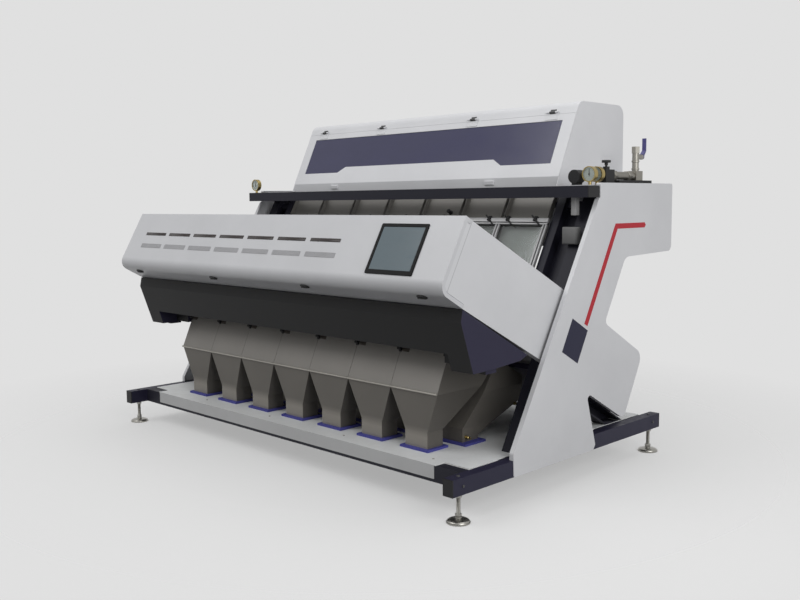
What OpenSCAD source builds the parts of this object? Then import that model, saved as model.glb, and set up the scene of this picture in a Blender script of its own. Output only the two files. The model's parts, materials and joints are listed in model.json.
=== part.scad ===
// Optical colour sorter for grain, seven chutes side by side.
// Millimetres. X is the long way, the operator stands at -Y, the floor is Z = 0.
// Points of the slanted works are given as at(a, b): a runs up along the chute
// surface and b runs square to it towards the rear, both from the spot where
// the cameras look at the falling grain.

/* [Whole machine] */
// width of one chute with its gap
pitch = 325; // [300:1:340]
// room from the outer chute to the outside of a side panel
side_room = 322.5; // [317:0.5:345]
// slope of the chutes from level, degrees
lean = 61; // [59:0.5:63]
// height of the camera line over the floor
insp_z = 800; // [780:1:820]
// camera line, from the middle of the depth
insp_y = -70; // [-80:1:-60]

/* [Base frame] */
// width of a base beam
beam_w = 60; // [50:1:60]
// height of a base beam
beam_h = 80; // [70:1:90]
// wall of every frame tube
tube_wall = 4; // [3:0.5:6]
// length of a base beam with its end plugs
beam_len = 1800; // [1780:1:1820]
// front end of the base beams
beam_front = -936; // [-940:1:-930]
// underside of the base beams over the floor
beam_z = 136; // [125:1:145]
// foot pad across
foot_d = 112; // [90:1:130]
// foot spindle across
spindle_d = 20; // [16:1:24]
// foot axis from a beam end
foot_inset = 72; // [65:1:90]
// base tray sheet
tray_t = 3; // [2:0.5:5]

/* [Outlets] */
// width of a front spout
spout_w = 154; // [140:1:170]
// depth of a front spout
spout_d = 112; // [100:1:118]
// width of a rear spout
rear_spout_w = 240; // [220:1:250]
// depth of a rear spout
rear_spout_d = 120; // [105:1:125]
// mat that shows round a spout
mat_edge = 20; // [12:1:24]
// mat thickness
mat_t = 12; // [10:1:24]
// sheet of the funnels
funnel_t = 3; // [2:0.5:4]
// sample door length from its hinge
door_len = 146; // [130:1:148]

/* [Covers] */
// sheet of the white covers
sheet = 3; // [2:0.5:4]
// depth of a side panel pan
panel_depth = 25; // [20:1:30]
// front edge of a side panel at its foot, b
panel_b = -114; // [-120:1:-108]
// front edge of a side panel at its top, b
panel_b_top = -84; // [-90:1:-78]
// top of the side panels
panel_top = 1540; // [1535:1:1545]

/* [Console] */
// front face of the console, b
face_b = -915; // [-925:1:-905]
// top edge of the console, a
con_top = 164; // [155:1:172]
// underside of the console, a
con_low = -212; // [-216:1:-206]
// bend at the lower front edge
con_r = 56; // [50:1:75]
// room from the outside of a side panel to a console arm
arm_room = 47; // [44:1:50]
// screen frame width
screen_w = 318; // [280:1:330]
// screen frame height
screen_h = 274; // [240:1:280]
// distance between the display slots
slot_pitch = 276; // [270:1:280]

/* [Hood] */
// top of the hood
hood_top = 2000; // [1985:1:2010]
// rear wall of the hood
hood_back = 924; // [915:1:930]
// lower front edge of the hood
hood_front = 255; // [250:1:262]
// slope of the hood front, degrees
hood_lean = 65; // [64:0.5:67]
// strip of the sloping front above the flap
flap_crown = 74; // [66:1:80]
// window edge to the upper edge of the flap
window_edge = 40; // [34:1:60]
// window edge to the bend over the lip
window_foot = 80; // [60:1:100]
// step in the lower window edge
window_step = 41; // [20:1:60]

/* [Feeding] */
// feed inlet width in the hood top
inlet_w = 220; // [180:1:240]
// feed inlet depth in the hood top
inlet_d = 150; // [120:1:156]
// lower end of the chutes, a
chute_low = 95; // [85:1:110]
// upper end of the chutes, a
chute_high = 905; // [895:1:910]
// side wall height of a chute
chute_wall = 25; // [20:1:28]

/* [Air set] */
// pressure gauge across
gauge_d = 82; // [70:1:86]
// air port across, at the top of the valve
port_d = 19; // [13:0.5:24]
// air port depth
port_l = 30; // [20:1:40]
// blue valve lever length
lever_len = 104; // [90:1:120]

/* [Hidden] */
$fn = 48;
eps = 0.01;
gap = 0.3;
// room left between sheets that lie on each other on a slope
seat = 0.05;
channels = 7;
bank = channels * pitch / 2;
half_w = bank + side_room;
function cx(i) = (i - (channels - 1) / 2) * pitch;
function wx(i) = (i - channels / 2) * pitch;
function at(a, b) = [
    insp_y + a * cos(lean) + b * sin(lean),
    insp_z + a * sin(lean) - b * cos(lean)
];
// point on the line of one b at a height
function bz(b, z) = at((z - insp_z + b * cos(lean)) / sin(lean), b);
function unit(v) = v / norm(v);
function left_of(v) = [-v[1], v[0]];
// crossing of two lines, each a point and a direction
function cross_pt(p, u, q, v) = p + u * ((q - p) * left_of(v)) / (u * left_of(v));
// outline moved inwards by d, for an outline that runs against the clock
function inset(pts, d) = [
    for (i = [0 : len(pts) - 1])
        let (p = pts[(i + len(pts) - 1) % len(pts)], q = pts[i], s = pts[(i + 1) % len(pts)])
        let (u = unit(q - p), v = unit(s - q))
        cross_pt(q + left_of(u) * d, u, q + left_of(v) * d, v)
];
// outline with its corners rounded by arcs of the radii r
function rounded(pts, r, steps = 8) = [
    for (i = [0 : len(pts) - 1])
        let (p = pts[(i + len(pts) - 1) % len(pts)], q = pts[i], s = pts[(i + 1) % len(pts)])
        let (u = unit(p - q), v = unit(s - q))
        let (half = acos(u * v) / 2, m = q + unit(u + v) * r[i] / sin(half))
        let (t0 = q + u * r[i] / tan(half) - m, turn = sign(u * left_of(v)) * (180 - 2 * half))
        each r[i] == 0 ? [q] : [
            for (k = [0 : steps])
                m + [t0[0] * cos(turn * k / steps) - t0[1] * sin(turn * k / steps),
                     t0[0] * sin(turn * k / steps) + t0[1] * cos(turn * k / steps)]
        ]
];

// levels and planes that several parts share
beam_out = half_w - sheet;
beam_in = beam_out - beam_w;
beam_top = beam_z + beam_h;
tray_top = beam_top + tray_t;
cross_front = beam_front + 121;
cross_back = beam_front + beam_len - 121;
tray_front = cross_front - tray_t;
post_x1 = beam_in - 7;
post_x0 = post_x1 - 80;
post_b0 = -15;
post_b1 = 65;
arm_out = half_w - arm_room;
arm_in = arm_out - 40;
lid_end = arm_out + 2;
panel_in = half_w - panel_depth;
face_a0 = con_low + con_r;
bend_c = at(face_a0, face_b + con_r);
front_most = bend_c[0] - con_r;
panel_back = -front_most;
topbeam_h = 60;
deck_z = panel_top - 10;
deck_t = 5;
rail_top = deck_z - deck_t;
rail_low = rail_top - topbeam_h;
topbeam_y0 = 104;
topbeam_y1 = 204;
deck_back = hood_back + 6;
shelf_z = 1150;
strut_a = -200;
strut_h = 80;
con_back = -540;
cam_low = con_low - 3;
cam_x = arm_out + 1;
rear_box_x = arm_out - 6;
eye_x = bank + 22.5;
eye_b = 110;
spout_front = beam_front + 267;
spout_z = 312;
rear_spout_front = beam_front + 480;
rear_spout_z = 300;
// rear wall of the rear funnels: place, lower bend, upper edge
rear_wall_y = -20;
rear_wall_z0 = 385;
rear_wall_z1 = 525;
ridge = [beam_front + 250, 518];
door_top = [beam_front + 312, 662];
split_y = -236;
split_z = 640;
door_dir = unit(door_top - ridge);
door_out = left_of(door_dir);
hinge_pt = ridge + door_out * 6.4;
hood_x = bank + 12.5;
inlet_y = hood_back - 284;
flap_dir = [cos(hood_lean), sin(hood_lean)];
flap_out = left_of(flap_dir);
flap_foot = [hood_front, deck_z];
slope_len = (hood_top - deck_z) / sin(hood_lean);
flap_len = slope_len - flap_crown;
lip_s = 57;
window_low = lip_s + window_foot;
window_high = flap_len - window_edge;
window_x = hood_x - 80;
flap_axis_s = flap_len + 10;
// point on the hood front: s up along the slope, o out from it
function hf(s, o) = flap_foot + flap_dir * s + flap_out * o;
lid_axis_a = con_top + 7;
lid_axis_b = face_b + 45;
lid_back = -740;
latch_b = -845;
latch_x = [for (k = [-3 : 2 : 3]) k / 3 * (half_w - 205)];
glass_b = -chute_wall;
// lower edge of the rail over the glass, a
rail_a = 572;
deck_front = bz(20, deck_z)[0] + 4;
tray_floor = deck_z + 82;
air_x = arm_out - 33;

// helpers
// outline in Y and Z drawn out along X
module bar_x(pts, x0, x1) {
    translate([x0, 0, 0]) rotate([90, 0, 90]) linear_extrude(x1 - x0) polygon(pts);
}

module slab(a0, a1, b0, b1, x0, x1) {
    bar_x([at(a0, b0), at(a0, b1), at(a1, b1), at(a1, b0)], x0, x1);
}

module box(x0, x1, y0, y1, z0, z1) {
    translate([x0, y0, z0]) cube([x1 - x0, y1 - y0, z1 - z0]);
}

module both() {
    children();
    mirror([1, 0, 0]) children();
}

// cylinder along X through a point of the Y-Z plane
module rod_x(p, r, x0, x1) {
    translate([x0, p[0], p[1]]) rotate([0, 90, 0]) cylinder(h = x1 - x0, r = r);
}

// cylinder along Y
module rod_y(x, z, r, y0, y1) {
    translate([x, y1, z]) rotate([90, 0, 0]) cylinder(h = y1 - y0, r = r);
}

// base frame
module base_beam(side) {
    color("midnightblue") mirror([side < 0 ? 1 : 0, 0, 0]) difference() {
        box(beam_in, beam_out, beam_front + 5, beam_front + beam_len - 5, beam_z, beam_top);
        box(beam_in + tube_wall, beam_out - tube_wall, beam_front, beam_front + beam_len,
            beam_z + tube_wall, beam_top - tube_wall);
        for (y = [beam_front + foot_inset, beam_front + beam_len - foot_inset])
            translate([(beam_in + beam_out) / 2, y, beam_z - 1])
                cylinder(h = tube_wall + 2, d = spindle_d + 1);
    }
}
module base_beam_left() base_beam(-1);
module base_beam_right() base_beam(1);

module tube_y(x0, x1, y0, y1, z0, z1) {
    difference() {
        box(x0, x1, y0, y1, z0, z1);
        box(x0 - 1, x1 + 1, y0 + tube_wall, y1 - tube_wall, z0 + tube_wall, z1 - tube_wall);
    }
}

// two cross beams and the stubs that carry the posts and struts
module cross_beams() {
    post_foot = bz(25, tray_top)[0];
    foot_b = (insp_z - tray_top + (strut_a - strut_h / 2) * sin(lean)) / cos(lean);
    strut_y = at(strut_a - strut_h / 2, foot_b)[0];
    color("midnightblue") {
        tube_y(-beam_in, beam_in, cross_front, cross_front + 60, beam_z, beam_top);
        tube_y(-beam_in, beam_in, cross_back - 60, cross_back, beam_z, beam_top);
        both() {
            tube_y(post_x0 - 10, beam_in, post_foot - 60, post_foot + 60, beam_z, beam_top);
            tube_y(post_x0 - 10, beam_in, strut_y - 60, strut_y + 60, beam_z, beam_top);
        }
    }
}

module beam_end_caps() {
    w = tube_wall + 0.2;
    color("black") both() {
        for (end = [0, 1]) {
            y = end == 0 ? beam_front : beam_front + beam_len - 5;
            box(beam_in, beam_out, y, y + 5, beam_z, beam_top);
            yi = end == 0 ? y + 5 - eps : y - 18;
            box(beam_in + w, beam_out - w, yi, yi + 18 + eps, beam_z + w, beam_top - w);
        }
        box(half_w - 6, half_w - 1, topbeam_y0, topbeam_y1, rail_low, rail_top);
        box(half_w - 24, half_w - 6 + eps, topbeam_y0 + w, topbeam_y1 - w, rail_low + w, rail_top - w);
    }
}

module base_tray() {
    ear = 70;
    color("white") difference() {
        union() {
            box(-post_x1, post_x1, tray_front + ear, cross_back, beam_top, tray_top);
            box(-half_w + 218, half_w - 218, tray_front, tray_front + ear + 1, beam_top, tray_top);
            box(-half_w + 228, half_w - 228, tray_front, cross_front, beam_z + 16, tray_top);
        }
        for (i = [0 : channels - 1]) {
            box(cx(i) - spout_w / 2 + funnel_t, cx(i) + spout_w / 2 - funnel_t, spout_front + funnel_t,
                spout_front + spout_d - funnel_t, beam_top - 1, tray_top + 1);
            box(cx(i) - rear_spout_w / 2 + funnel_t, cx(i) + rear_spout_w / 2 - funnel_t,
                rear_spout_front + funnel_t, rear_spout_front + rear_spout_d - funnel_t,
                beam_top - 1, tray_top + 1);
        }
    }
}

module mat(x, y, w, d, edge) {
    difference() {
        box(x - w / 2 - edge, x + w / 2 + edge, y - mat_edge, y + d + mat_edge, tray_top, tray_top + mat_t);
        box(x - w / 2 - 0.2, x + w / 2 + 0.2, y - 0.2, y + d + 0.2, tray_top - 1, tray_top + mat_t + 1);
    }
}

module outlet_mats() {
    color("slateblue") for (i = [0 : channels - 1]) {
        mat(cx(i), spout_front, spout_w, spout_d, mat_edge);
        mat(cx(i), rear_spout_front, rear_spout_w, rear_spout_d, (pitch - rear_spout_w) / 2 - 5);
    }
}

// foot: pad, spindle and the nut that carries the beam, nut face on the beam
module foot(side, y) {
    color("dimgray") translate([side * (beam_in + beam_out) / 2, y, 0]) {
        cylinder(h = 10, d = foot_d);
        translate([0, 0, 10 - eps]) cylinder(h = 12, d1 = foot_d - 8, d2 = foot_d * 0.42);
        translate([0, 0, 20]) cylinder(h = beam_z + 30 - 20, d = spindle_d);
        translate([0, 0, beam_z - gap - 16]) cylinder(h = 16, d = spindle_d * 1.7, $fn = 6);
        translate([0, 0, 30]) cylinder(h = 14, d = spindle_d * 1.6, $fn = 6);
    }
}
module foot_front_left() foot(-1, beam_front + foot_inset);
module foot_front_right() foot(1, beam_front + foot_inset);
module foot_rear_left() foot(-1, beam_front + beam_len - foot_inset);
module foot_rear_right() foot(1, beam_front + beam_len - foot_inset);

// one welded side: slanted post, rear strut, upper bay and the brackets for panel and console
module side_frame(side) {
    s1 = strut_a;
    s0 = strut_a - strut_h;
    b0 = (insp_z - tray_top + s0 * sin(lean)) / cos(lean);
    b1 = (insp_z - tray_top + s1 * sin(lean)) / cos(lean);
    back = deck_back - 4;
    wall = 2 * tube_wall;
    x1 = post_x1;
    xi = post_x0 + wall;
    color("midnightblue") mirror([side < 0 ? 1 : 0, 0, 0]) {
        difference() {
            union() {
                bar_x([bz(post_b0, tray_top), bz(post_b1, tray_top), bz(post_b1, rail_top),
                    bz(post_b0, rail_top)], post_x0, x1);
                bar_x([at(s0, 40), at(s0, b0), at(s1, b1), at(s1, 40)], post_x0, x1);
                box(post_x0, x1, topbeam_y1, back, rail_low, rail_top);
                box(post_x0, x1, bz(30, shelf_z + 15)[0], back, shelf_z + 15, shelf_z + 75);
                box(post_x0, x1, back - 60, back, shelf_z + 15, rail_top);
            }
            bar_x([bz(post_b0 + wall, tray_top + wall), bz(post_b1 - wall, tray_top + wall),
                bz(post_b1 - wall, rail_top - wall), bz(post_b0 + wall, rail_top - wall)], xi, x1 + 1);
            bar_x([at(s0 + wall, 50), at(s0 + wall, b0 - 28), at(s1 - wall, b1 - 10), at(s1 - wall, 50)],
                xi, x1 + 1);
            box(xi, x1 + 1, topbeam_y1 + wall, back - wall, rail_low + wall, rail_top - wall);
            box(xi, x1 + 1, bz(40, shelf_z + 15)[0], back - wall, shelf_z + 15 + wall, shelf_z + 75 - wall);
            box(xi, x1 + 1, back - 60 + wall, back - wall, shelf_z + 20, rail_top - wall);
        }
        slab(-120, 100, post_b0, post_b0 + 40, xi - 1, arm_out);
        slab(-560, -510, 0, 50, xi - 1, beam_out);
        box(xi - 1, beam_out, 500, 550, rail_low + 10, rail_low + 50);
        box(xi - 1, beam_out, back - 50, back - 10, shelf_z + 25, shelf_z + 65);
    }
}
module side_frame_left() side_frame(-1);
module side_frame_right() side_frame(1);

// outline of a side panel, against the clock seen from +X
panel_line = [
    [beam_front + 1112, beam_z], [beam_front + 1130, beam_z + 26], at(-216, 319), at(-216, 738),
    at(168, 735), at(168, 295), [beam_front + 1399, shelf_z - 6], [panel_back, shelf_z + 8],
    [panel_back, panel_top], [topbeam_y1 + 6, panel_top], [topbeam_y1 + 6, rail_low - 6],
    bz(panel_b_top, rail_low - 6), bz(panel_b, 250), [beam_front + 434, beam_z]
];
panel_r = [12, 12, 20, 40, 60, 30, 60, 36, 14, 8, 6, 8, 20, 12];

module side_panel(side) {
    color("whitesmoke") mirror([side < 0 ? 1 : 0, 0, 0]) difference() {
        bar_x(rounded(panel_line, panel_r), panel_in, half_w);
        bar_x(rounded(inset(panel_line, sheet), [for (r = panel_r) max(r - sheet, 4)]),
            panel_in - 1, beam_out);
        box(panel_in - 1, beam_out, beam_front, beam_front + beam_len, beam_z - 1, beam_top + 1);
    }
}
module side_panel_left() side_panel(-1);
module side_panel_right() side_panel(1);

// red stripe and blue patch on both side panels
module side_trim() {
    t = 0.8;
    color("crimson") both() bar_x([
        at(88, 120), at(88, 152), bz(152, 1298), [beam_front + 1590, 1298], [beam_front + 1602, 1312],
        [beam_front + 1590, 1326], bz(120, 1326)
    ], half_w, half_w + t);
    color("royalblue") both() slab(-114, 70, 10, 166, half_w, half_w + t);
}

// top cross beam, the two tubes behind the chutes, the cheek beside the outer chutes
// and the sheet that closes the frame between cheek and post
module cross_members() {
    back = 6 + seat;
    cheek_x = bank + 16;
    cheek_w = 50;
    cheek_low = insp_z + chute_low * sin(lean);
    color("midnightblue") {
        tube_y(-half_w + 6, half_w - 6, topbeam_y0, topbeam_y1, rail_low, rail_top);
        for (a = [230, 700]) difference() {
            slab(a, a + 40, back, back + 40, -post_x0, post_x0);
            slab(a + tube_wall, a + 40 - tube_wall, back + tube_wall, back + 40 - tube_wall,
                -post_x0 - 1, post_x0 + 1);
        }
        both() bar_x([bz(post_b0, cheek_low), bz(back + 40, cheek_low), bz(back + 40, rail_top),
            bz(post_b0, rail_top)], cheek_x, cheek_x + cheek_w);
        both() slab(150, 720, back + 40 - sheet, back + 40, cheek_x + cheek_w - 1, post_x0);
    }
}

// deck under the hood, with ears at both ends and a skirt at the back
module feeder_deck() {
    color("whitesmoke") {
        box(-arm_out, arm_out, deck_front, deck_back, rail_top, deck_z);
        both() box(hood_x + 10, arm_out, topbeam_y1, deck_front + 1, rail_top, deck_z);
        box(-arm_out, arm_out, deck_back - sheet, deck_back, shelf_z + 10, rail_top + 1);
    }
}

// hood
hood_line = [
    [hood_back, deck_z], [hood_back, hood_top], hf(slope_len, 0), flap_foot
];
hood_r = [0, 60, 60, 0];

module hood_shell() {
    in = inset(hood_line, sheet);
    color("whitesmoke") difference() {
        bar_x(rounded(hood_line, hood_r), -hood_x, hood_x);
        bar_x(rounded([in[0] - [0, 20], in[1], in[2], in[3] - flap_dir * 20], [0, 57, 57, 0]),
            -hood_x + sheet, hood_x - sheet);
        bar_x([hf(-20, -sheet - 0.4), hf(flap_len + 1, -sheet - 0.4), hf(flap_len + 1, 20), hf(-20, 20)],
            -hood_x - 1, hood_x + 1);
        for (i = [0 : channels - 1])
            box(cx(i) - inlet_w / 2, cx(i) + inlet_w / 2, inlet_y - inlet_d / 2, inlet_y + inlet_d / 2,
                hood_top - 2 * sheet, hood_top + 1);
    }
}

// stepped window opening, x along the hood and s up the slope
module window_shape() {
    step_in = window_x - 419;
    step_out = step_in + 67;
    step_up = window_low + window_step;
    polygon([[-window_x, window_low], [-step_out, window_low], [-step_in, step_up], [step_in, step_up],
        [step_out, window_low], [window_x, window_low], [window_x, window_high], [-window_x, window_high]]);
}

// lays a drawing in x and s on the hood front, thickness from o0 to o1
module on_flap(o0, o1) {
    p = hf(0, o0);
    translate([0, p[0], p[1]]) rotate([hood_lean, 0, 0]) linear_extrude(o1 - o0) children();
}

hood_hinge_x = [-990, -400, 400, 990];

module hood_flap() {
    p = hf(lip_s, -sheet);
    q = hf(lip_s, 0);
    down = [cos(hood_lean + 210), sin(hood_lean + 210)];
    ax = hf(flap_axis_s, 7);
    color("white") difference() {
        union() {
            difference() {
                bar_x([p, hf(flap_len, -sheet), hf(flap_len, 0), q], -hood_x + 1, hood_x - 1);
                on_flap(-sheet - 1, 1) window_shape();
            }
            bar_x([p, q, q + down * 60, q + down * 60 + [sheet, 0]], -hood_x + sheet + 1, hood_x - sheet - 1);
            for (x = hood_hinge_x) {
                for (d = [-40, 20]) rod_x(ax, 6, x + d, x + d + 20);
                for (d = [-40, 20])
                    bar_x([hf(flap_len - 6, 1), hf(flap_axis_s, 1), hf(flap_axis_s, 4), hf(flap_len - 6, 4)],
                        x + d, x + d + 20);
                bar_x([hf(flap_len - 34, -eps), hf(flap_len, -eps), hf(flap_len, 3), hf(flap_len - 34, 3)],
                    x - 40, x + 40);
            }
            for (x = [-710, 660])
                bar_x([q + down * 14 + [1, 0], q + down * 14 + [-9, -3], q + down * 40 + [-9, 3],
                    q + down * 40 + [1, 0]], x - 34, x + 34);
        }
        for (x = hood_hinge_x) rod_x(ax, 2.4, x - 41, x + 41);
    }
}

module hood_window() {
    lap = 15;
    color("slateblue") on_flap(-2 * sheet, -sheet) polygon([
        [-window_x - lap, window_low - lap], [window_x + lap, window_low - lap],
        [window_x + lap, window_high + lap], [-window_x - lap, window_high + lap]
    ]);
}

module hood_hinges() {
    ax = hf(flap_axis_s, 7);
    color("silver") for (x = hood_hinge_x) {
        rod_x(ax, 6, x - 19.6, x + 19.6);
        rod_x(ax, 2, x - 40, x + 40);
        bar_x([hf(flap_len + 4, seat), hf(flap_len + 30, seat), hf(flap_len + 30, 2.5),
            hf(flap_len + 4, 2.5)], x - 19.6, x + 19.6);
    }
}

// feeding
module inlet_hopper() {
    z0 = tray_floor + 82;
    z1 = hood_top - sheet;
    f1 = inlet_y - inlet_d / 2 - 4;
    r1 = inlet_y + inlet_d / 2 + 4;
    front = [[f1 - 40, z0], [f1 - 37, z0], [f1 + 3, z1], [f1, z1]];
    rear = [[r1 - 123, z0], [r1 - 120, z0], [r1, z1], [r1 - 3, z1]];
    color("gainsboro") {
        bar_x(front, -bank, bank);
        bar_x(rear, -bank, bank);
        for (i = [0 : channels])
            bar_x([[f1 - 39, z0], [r1 - 121, z0], [r1 - 1, z1], [f1 + 1, z1]],
                min(max(wx(i) - 1.5, -bank), bank - 3), max(min(wx(i) + 1.5, bank), -bank + 3));
    }
}

module feeder_trays() {
    w = pitch / 2 - 12;
    y0 = 350;
    y1 = 700;
    color("lightgray") for (i = [0 : channels - 1]) difference() {
        union() {
            box(cx(i) - w, cx(i) + w, y0, y1, tray_floor, tray_floor + 60);
            box(cx(i) - 50, cx(i) + 50, y0 + 130, y1 - 80, tray_floor - 6, tray_floor + 1);
        }
        box(cx(i) - w + 3, cx(i) + w - 3, y0 - 1, y1 - 3, tray_floor + 3, tray_floor + 61);
    }
}

module feeder_drives() {
    y = inlet_y - 95;
    z0 = deck_z + 10;
    z1 = tray_floor - 6 - gap;
    color("dimgray") for (i = [0 : channels - 1]) {
        box(cx(i) - 80, cx(i) + 80, y - 115, y + 115, deck_z, z0);
        box(cx(i) - 55, cx(i) + 55, y - 62, y + 34, z0 - eps, z0 + 40);
        rod_y(cx(i), z0 + 22, 20, y + 33, y + 62);
        for (d = [-62, 66])
            bar_x([[y + d, z0 - eps], [y + d + 4, z0 - eps], [y + d + 20, z1], [y + d + 16, z1]],
                cx(i) - 45, cx(i) + 45);
    }
}

// chutes and the glass in front of them
module chutes() {
    w = pitch / 2 - 10;
    color("darkgray") for (i = [0 : channels - 1]) {
        slab(chute_low, chute_high, 0, 6, cx(i) - w, cx(i) + w);
        for (s = [-1, 1])
            slab(chute_low, chute_high, glass_b, 6, cx(i) + s * (w - 2) - 2, cx(i) + s * (w - 2) + 2);
    }
}

module glass_frame() {
    back = glass_b - 4 - seat;
    color("silver") {
        slab(rail_a, rail_a + 40, glass_b - 20, back, -bank - 15, bank + 15);
        slab(130, 152, glass_b - 18, back, -bank - 15, bank + 15);
        for (i = [0 : channels]) slab(140, rail_a + 20, glass_b - 18, back, wx(i) - 15, wx(i) + 15);
    }
}

module glass_panes() {
    w = pitch / 2 - 11;
    color("lightcyan") for (i = [0 : channels - 1])
        slab(134, rail_a + 36, glass_b - 4, glass_b, cx(i) - w, cx(i) + w);
}

module rail_clips() {
    color("black") for (i = [0 : channels - 1]) for (s = [-1, 1])
        bar_x([at(rail_a + 18, glass_b - 20), at(rail_a + 40, glass_b - 20), at(rail_a + 40, glass_b - 8),
            at(rail_a + 48, glass_b - 8), at(rail_a + 48, glass_b - 26), at(rail_a + 18, glass_b - 32)],
            cx(i) + s * 95 - 9, cx(i) + s * 95 + 9);
}

// cameras
cam_line = [at(cam_low, -735), [beam_front + 107, 911], [beam_front + 186, 685],
    [beam_front + 556, 672], at(cam_low, -190)];
eye_line = [at(cam_low + seat, con_back), at(cam_low + seat, -190), at(-200, -eye_b), at(140, -eye_b),
    at(140, con_back)];

// lower housing over the funnels, and the camera housing that stands on it
module front_camera_box() {
    color("darkslategray") {
        difference() {
            bar_x(cam_line, -cam_x, cam_x);
            bar_x(inset(cam_line, sheet), -cam_x + sheet, cam_x - sheet);
        }
        difference() {
            bar_x(eye_line, -eye_x, eye_x);
            bar_x(inset(eye_line, sheet), -eye_x + sheet, eye_x - sheet);
            slab(-70, 70, -eye_b - 20, -eye_b + 1, -bank - 10, bank + 10);
        }
        both() box(cam_x - 79, cam_x - 49, beam_front + 190, beam_front + 305, 640, 690);
    }
}

module rear_camera_box() {
    x = rear_box_x;
    low = strut_a + seat;
    color("midnightblue") difference() {
        slab(low, 150, eye_b, 700, -x, x);
        slab(low + sheet, 150 - sheet, eye_b + sheet, 700 - sheet, -x + sheet, x - sheet);
        slab(-70, 70, eye_b - 1, eye_b + 20, -bank - 10, bank + 10);
    }
}

module camera_windows() {
    color("lightcyan") {
        slab(-84, 84, -eye_b - sheet - 4, -eye_b - sheet - seat, -bank - 18, bank + 18);
        slab(-84, 84, eye_b + sheet + seat, eye_b + sheet + 4, -bank - 18, bank + 18);
    }
}

// a row of cameras on a rail with a lamp bar above and below the view
module optics(s, x) {
    color("gray") {
        slab(-58, -40, min(s * 420, s * 250), max(s * 420, s * 250), -x, x);
        for (i = [0 : channels - 1]) {
            slab(-40, 44, min(s * 400, s * 290), max(s * 400, s * 290), cx(i) - 42, cx(i) + 42);
            p = at(0, s * 291);
            translate([cx(i), p[0], p[1]]) rotate([s < 0 ? lean - 180 : lean, 0, 0]) cylinder(h = 46, r = 24);
        }
        for (a = [-105, 90]) slab(a, a + 26, min(s * 190, s * 160), max(s * 190, s * 160), -x, x);
    }
}
module front_optics() optics(-1, eye_x - sheet);
module rear_optics() optics(1, rear_box_x - sheet);

// air nozzle bar under the camera line, with a valve block for each chute
module ejector_bar() {
    color("silver") {
        slab(-175, -115, 40, 100, -post_x0, post_x0);
        for (i = [0 : channels - 1]) slab(-214, -175, 46, 94, cx(i) - 120, cx(i) + 120);
    }
}

// funnels
module funnel_body(i, side_z, half, line) {
    intersection() {
        translate([cx(i), 0, 0]) rotate([90, 0, 0]) translate([0, 0, -1000]) linear_extrude(2000) polygon([
            [-half, tray_top - 50], [half, tray_top - 50], [half, side_z[0]], [pitch / 2 - 0.5, side_z[1]],
            [pitch / 2 - 0.5, 1000], [-pitch / 2 + 0.5, 1000], [-pitch / 2 + 0.5, side_z[1]],
            [-half, side_z[0]]
        ]);
        bar_x(line, -2000, 2000);
    }
}

module funnel_hole(i, side_z, half, line) {
    t = funnel_t;
    intersection() {
        translate([cx(i), 0, 0]) rotate([90, 0, 0]) translate([0, 0, -1000]) linear_extrude(2000) polygon([
            [-half + t, tray_top - 50], [half - t, tray_top - 50], [half - t, side_z[0]],
            [pitch / 2 - 0.5 - t, side_z[1]], [pitch / 2 - 0.5 - t, 1000], [-pitch / 2 + 0.5 + t, 1000],
            [-pitch / 2 + 0.5 + t, side_z[1]], [-half + t, side_z[0]]
        ]);
        bar_x(line, -2000, 2000);
    }
}

spout_back = spout_front + spout_d;
front_line = [[spout_front, tray_top], [spout_back, tray_top], [spout_back, spout_z], [split_y, split_z],
    door_top, ridge, [spout_front, spout_z]];
rear_spout_back = rear_spout_front + rear_spout_d;
rear_line = [[rear_spout_front, tray_top], [rear_spout_back, tray_top], [rear_spout_back, rear_spout_z - 50],
    [rear_wall_y, rear_wall_z0], [rear_wall_y, rear_wall_z1], [split_y + 4, split_z],
    [rear_spout_front, rear_spout_z]];

module front_funnels() {
    n = inset(front_line, funnel_t);
    up = unit([split_y, split_z] - [spout_back, spout_z]);
    hole_top = door_len - 12;
    hole = [n[0] - [0, 30], n[1] - [0, 30], n[2], n[3] + up * 40, n[4] + [0, 60], n[4], n[5], n[6]];
    color("rosybrown") for (i = [0 : channels - 1]) difference() {
        funnel_body(i, [spout_z, ridge[1]], spout_w / 2, front_line);
        funnel_hole(i, [spout_z, ridge[1]], spout_w / 2, hole);
        bar_x([ridge + door_dir * 14 - door_out * 20, ridge + door_dir * hole_top - door_out * 20,
            ridge + door_dir * hole_top + door_out * 9, ridge + door_dir * 14 + door_out * 9],
            cx(i) - pitch / 2 + 20, cx(i) + pitch / 2 - 20);
    }
}

module rear_funnels() {
    n = inset(rear_line, funnel_t);
    up = unit([split_y, split_z] - [rear_spout_front, rear_spout_z]);
    hole = [n[0] - [0, 30], n[1] - [0, 30], n[2], n[3], n[4] + [0, 60], n[5] + up * 60, n[6]];
    color("rosybrown") for (i = [0 : channels - 1]) difference() {
        funnel_body(i, [rear_spout_z, 480], rear_spout_w / 2, rear_line);
        funnel_hole(i, [rear_spout_z, 480], rear_spout_w / 2, hole);
    }
}

// sample door, hinged on a rod along the ridge of the front funnels
module sample_door(i) {
    w = pitch / 2 - 10.5;
    color("tan") difference() {
        union() {
            bar_x([ridge + door_out * 0.4, ridge + door_out * 3.4,
                ridge + door_dir * door_len + door_out * 3.4, ridge + door_dir * door_len + door_out * 0.4],
                cx(i - 1) - w, cx(i - 1) + w);
            rod_x(hinge_pt, 5, cx(i - 1) - w, cx(i - 1) + w);
        }
        rod_x(hinge_pt, 2.6, cx(i - 1) - w - 1, cx(i - 1) + w + 1);
    }
}
module sample_door_1() sample_door(1);
module sample_door_2() sample_door(2);
module sample_door_3() sample_door(3);
module sample_door_4() sample_door(4);
module sample_door_5() sample_door(5);
module sample_door_6() sample_door(6);
module sample_door_7() sample_door(7);

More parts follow.
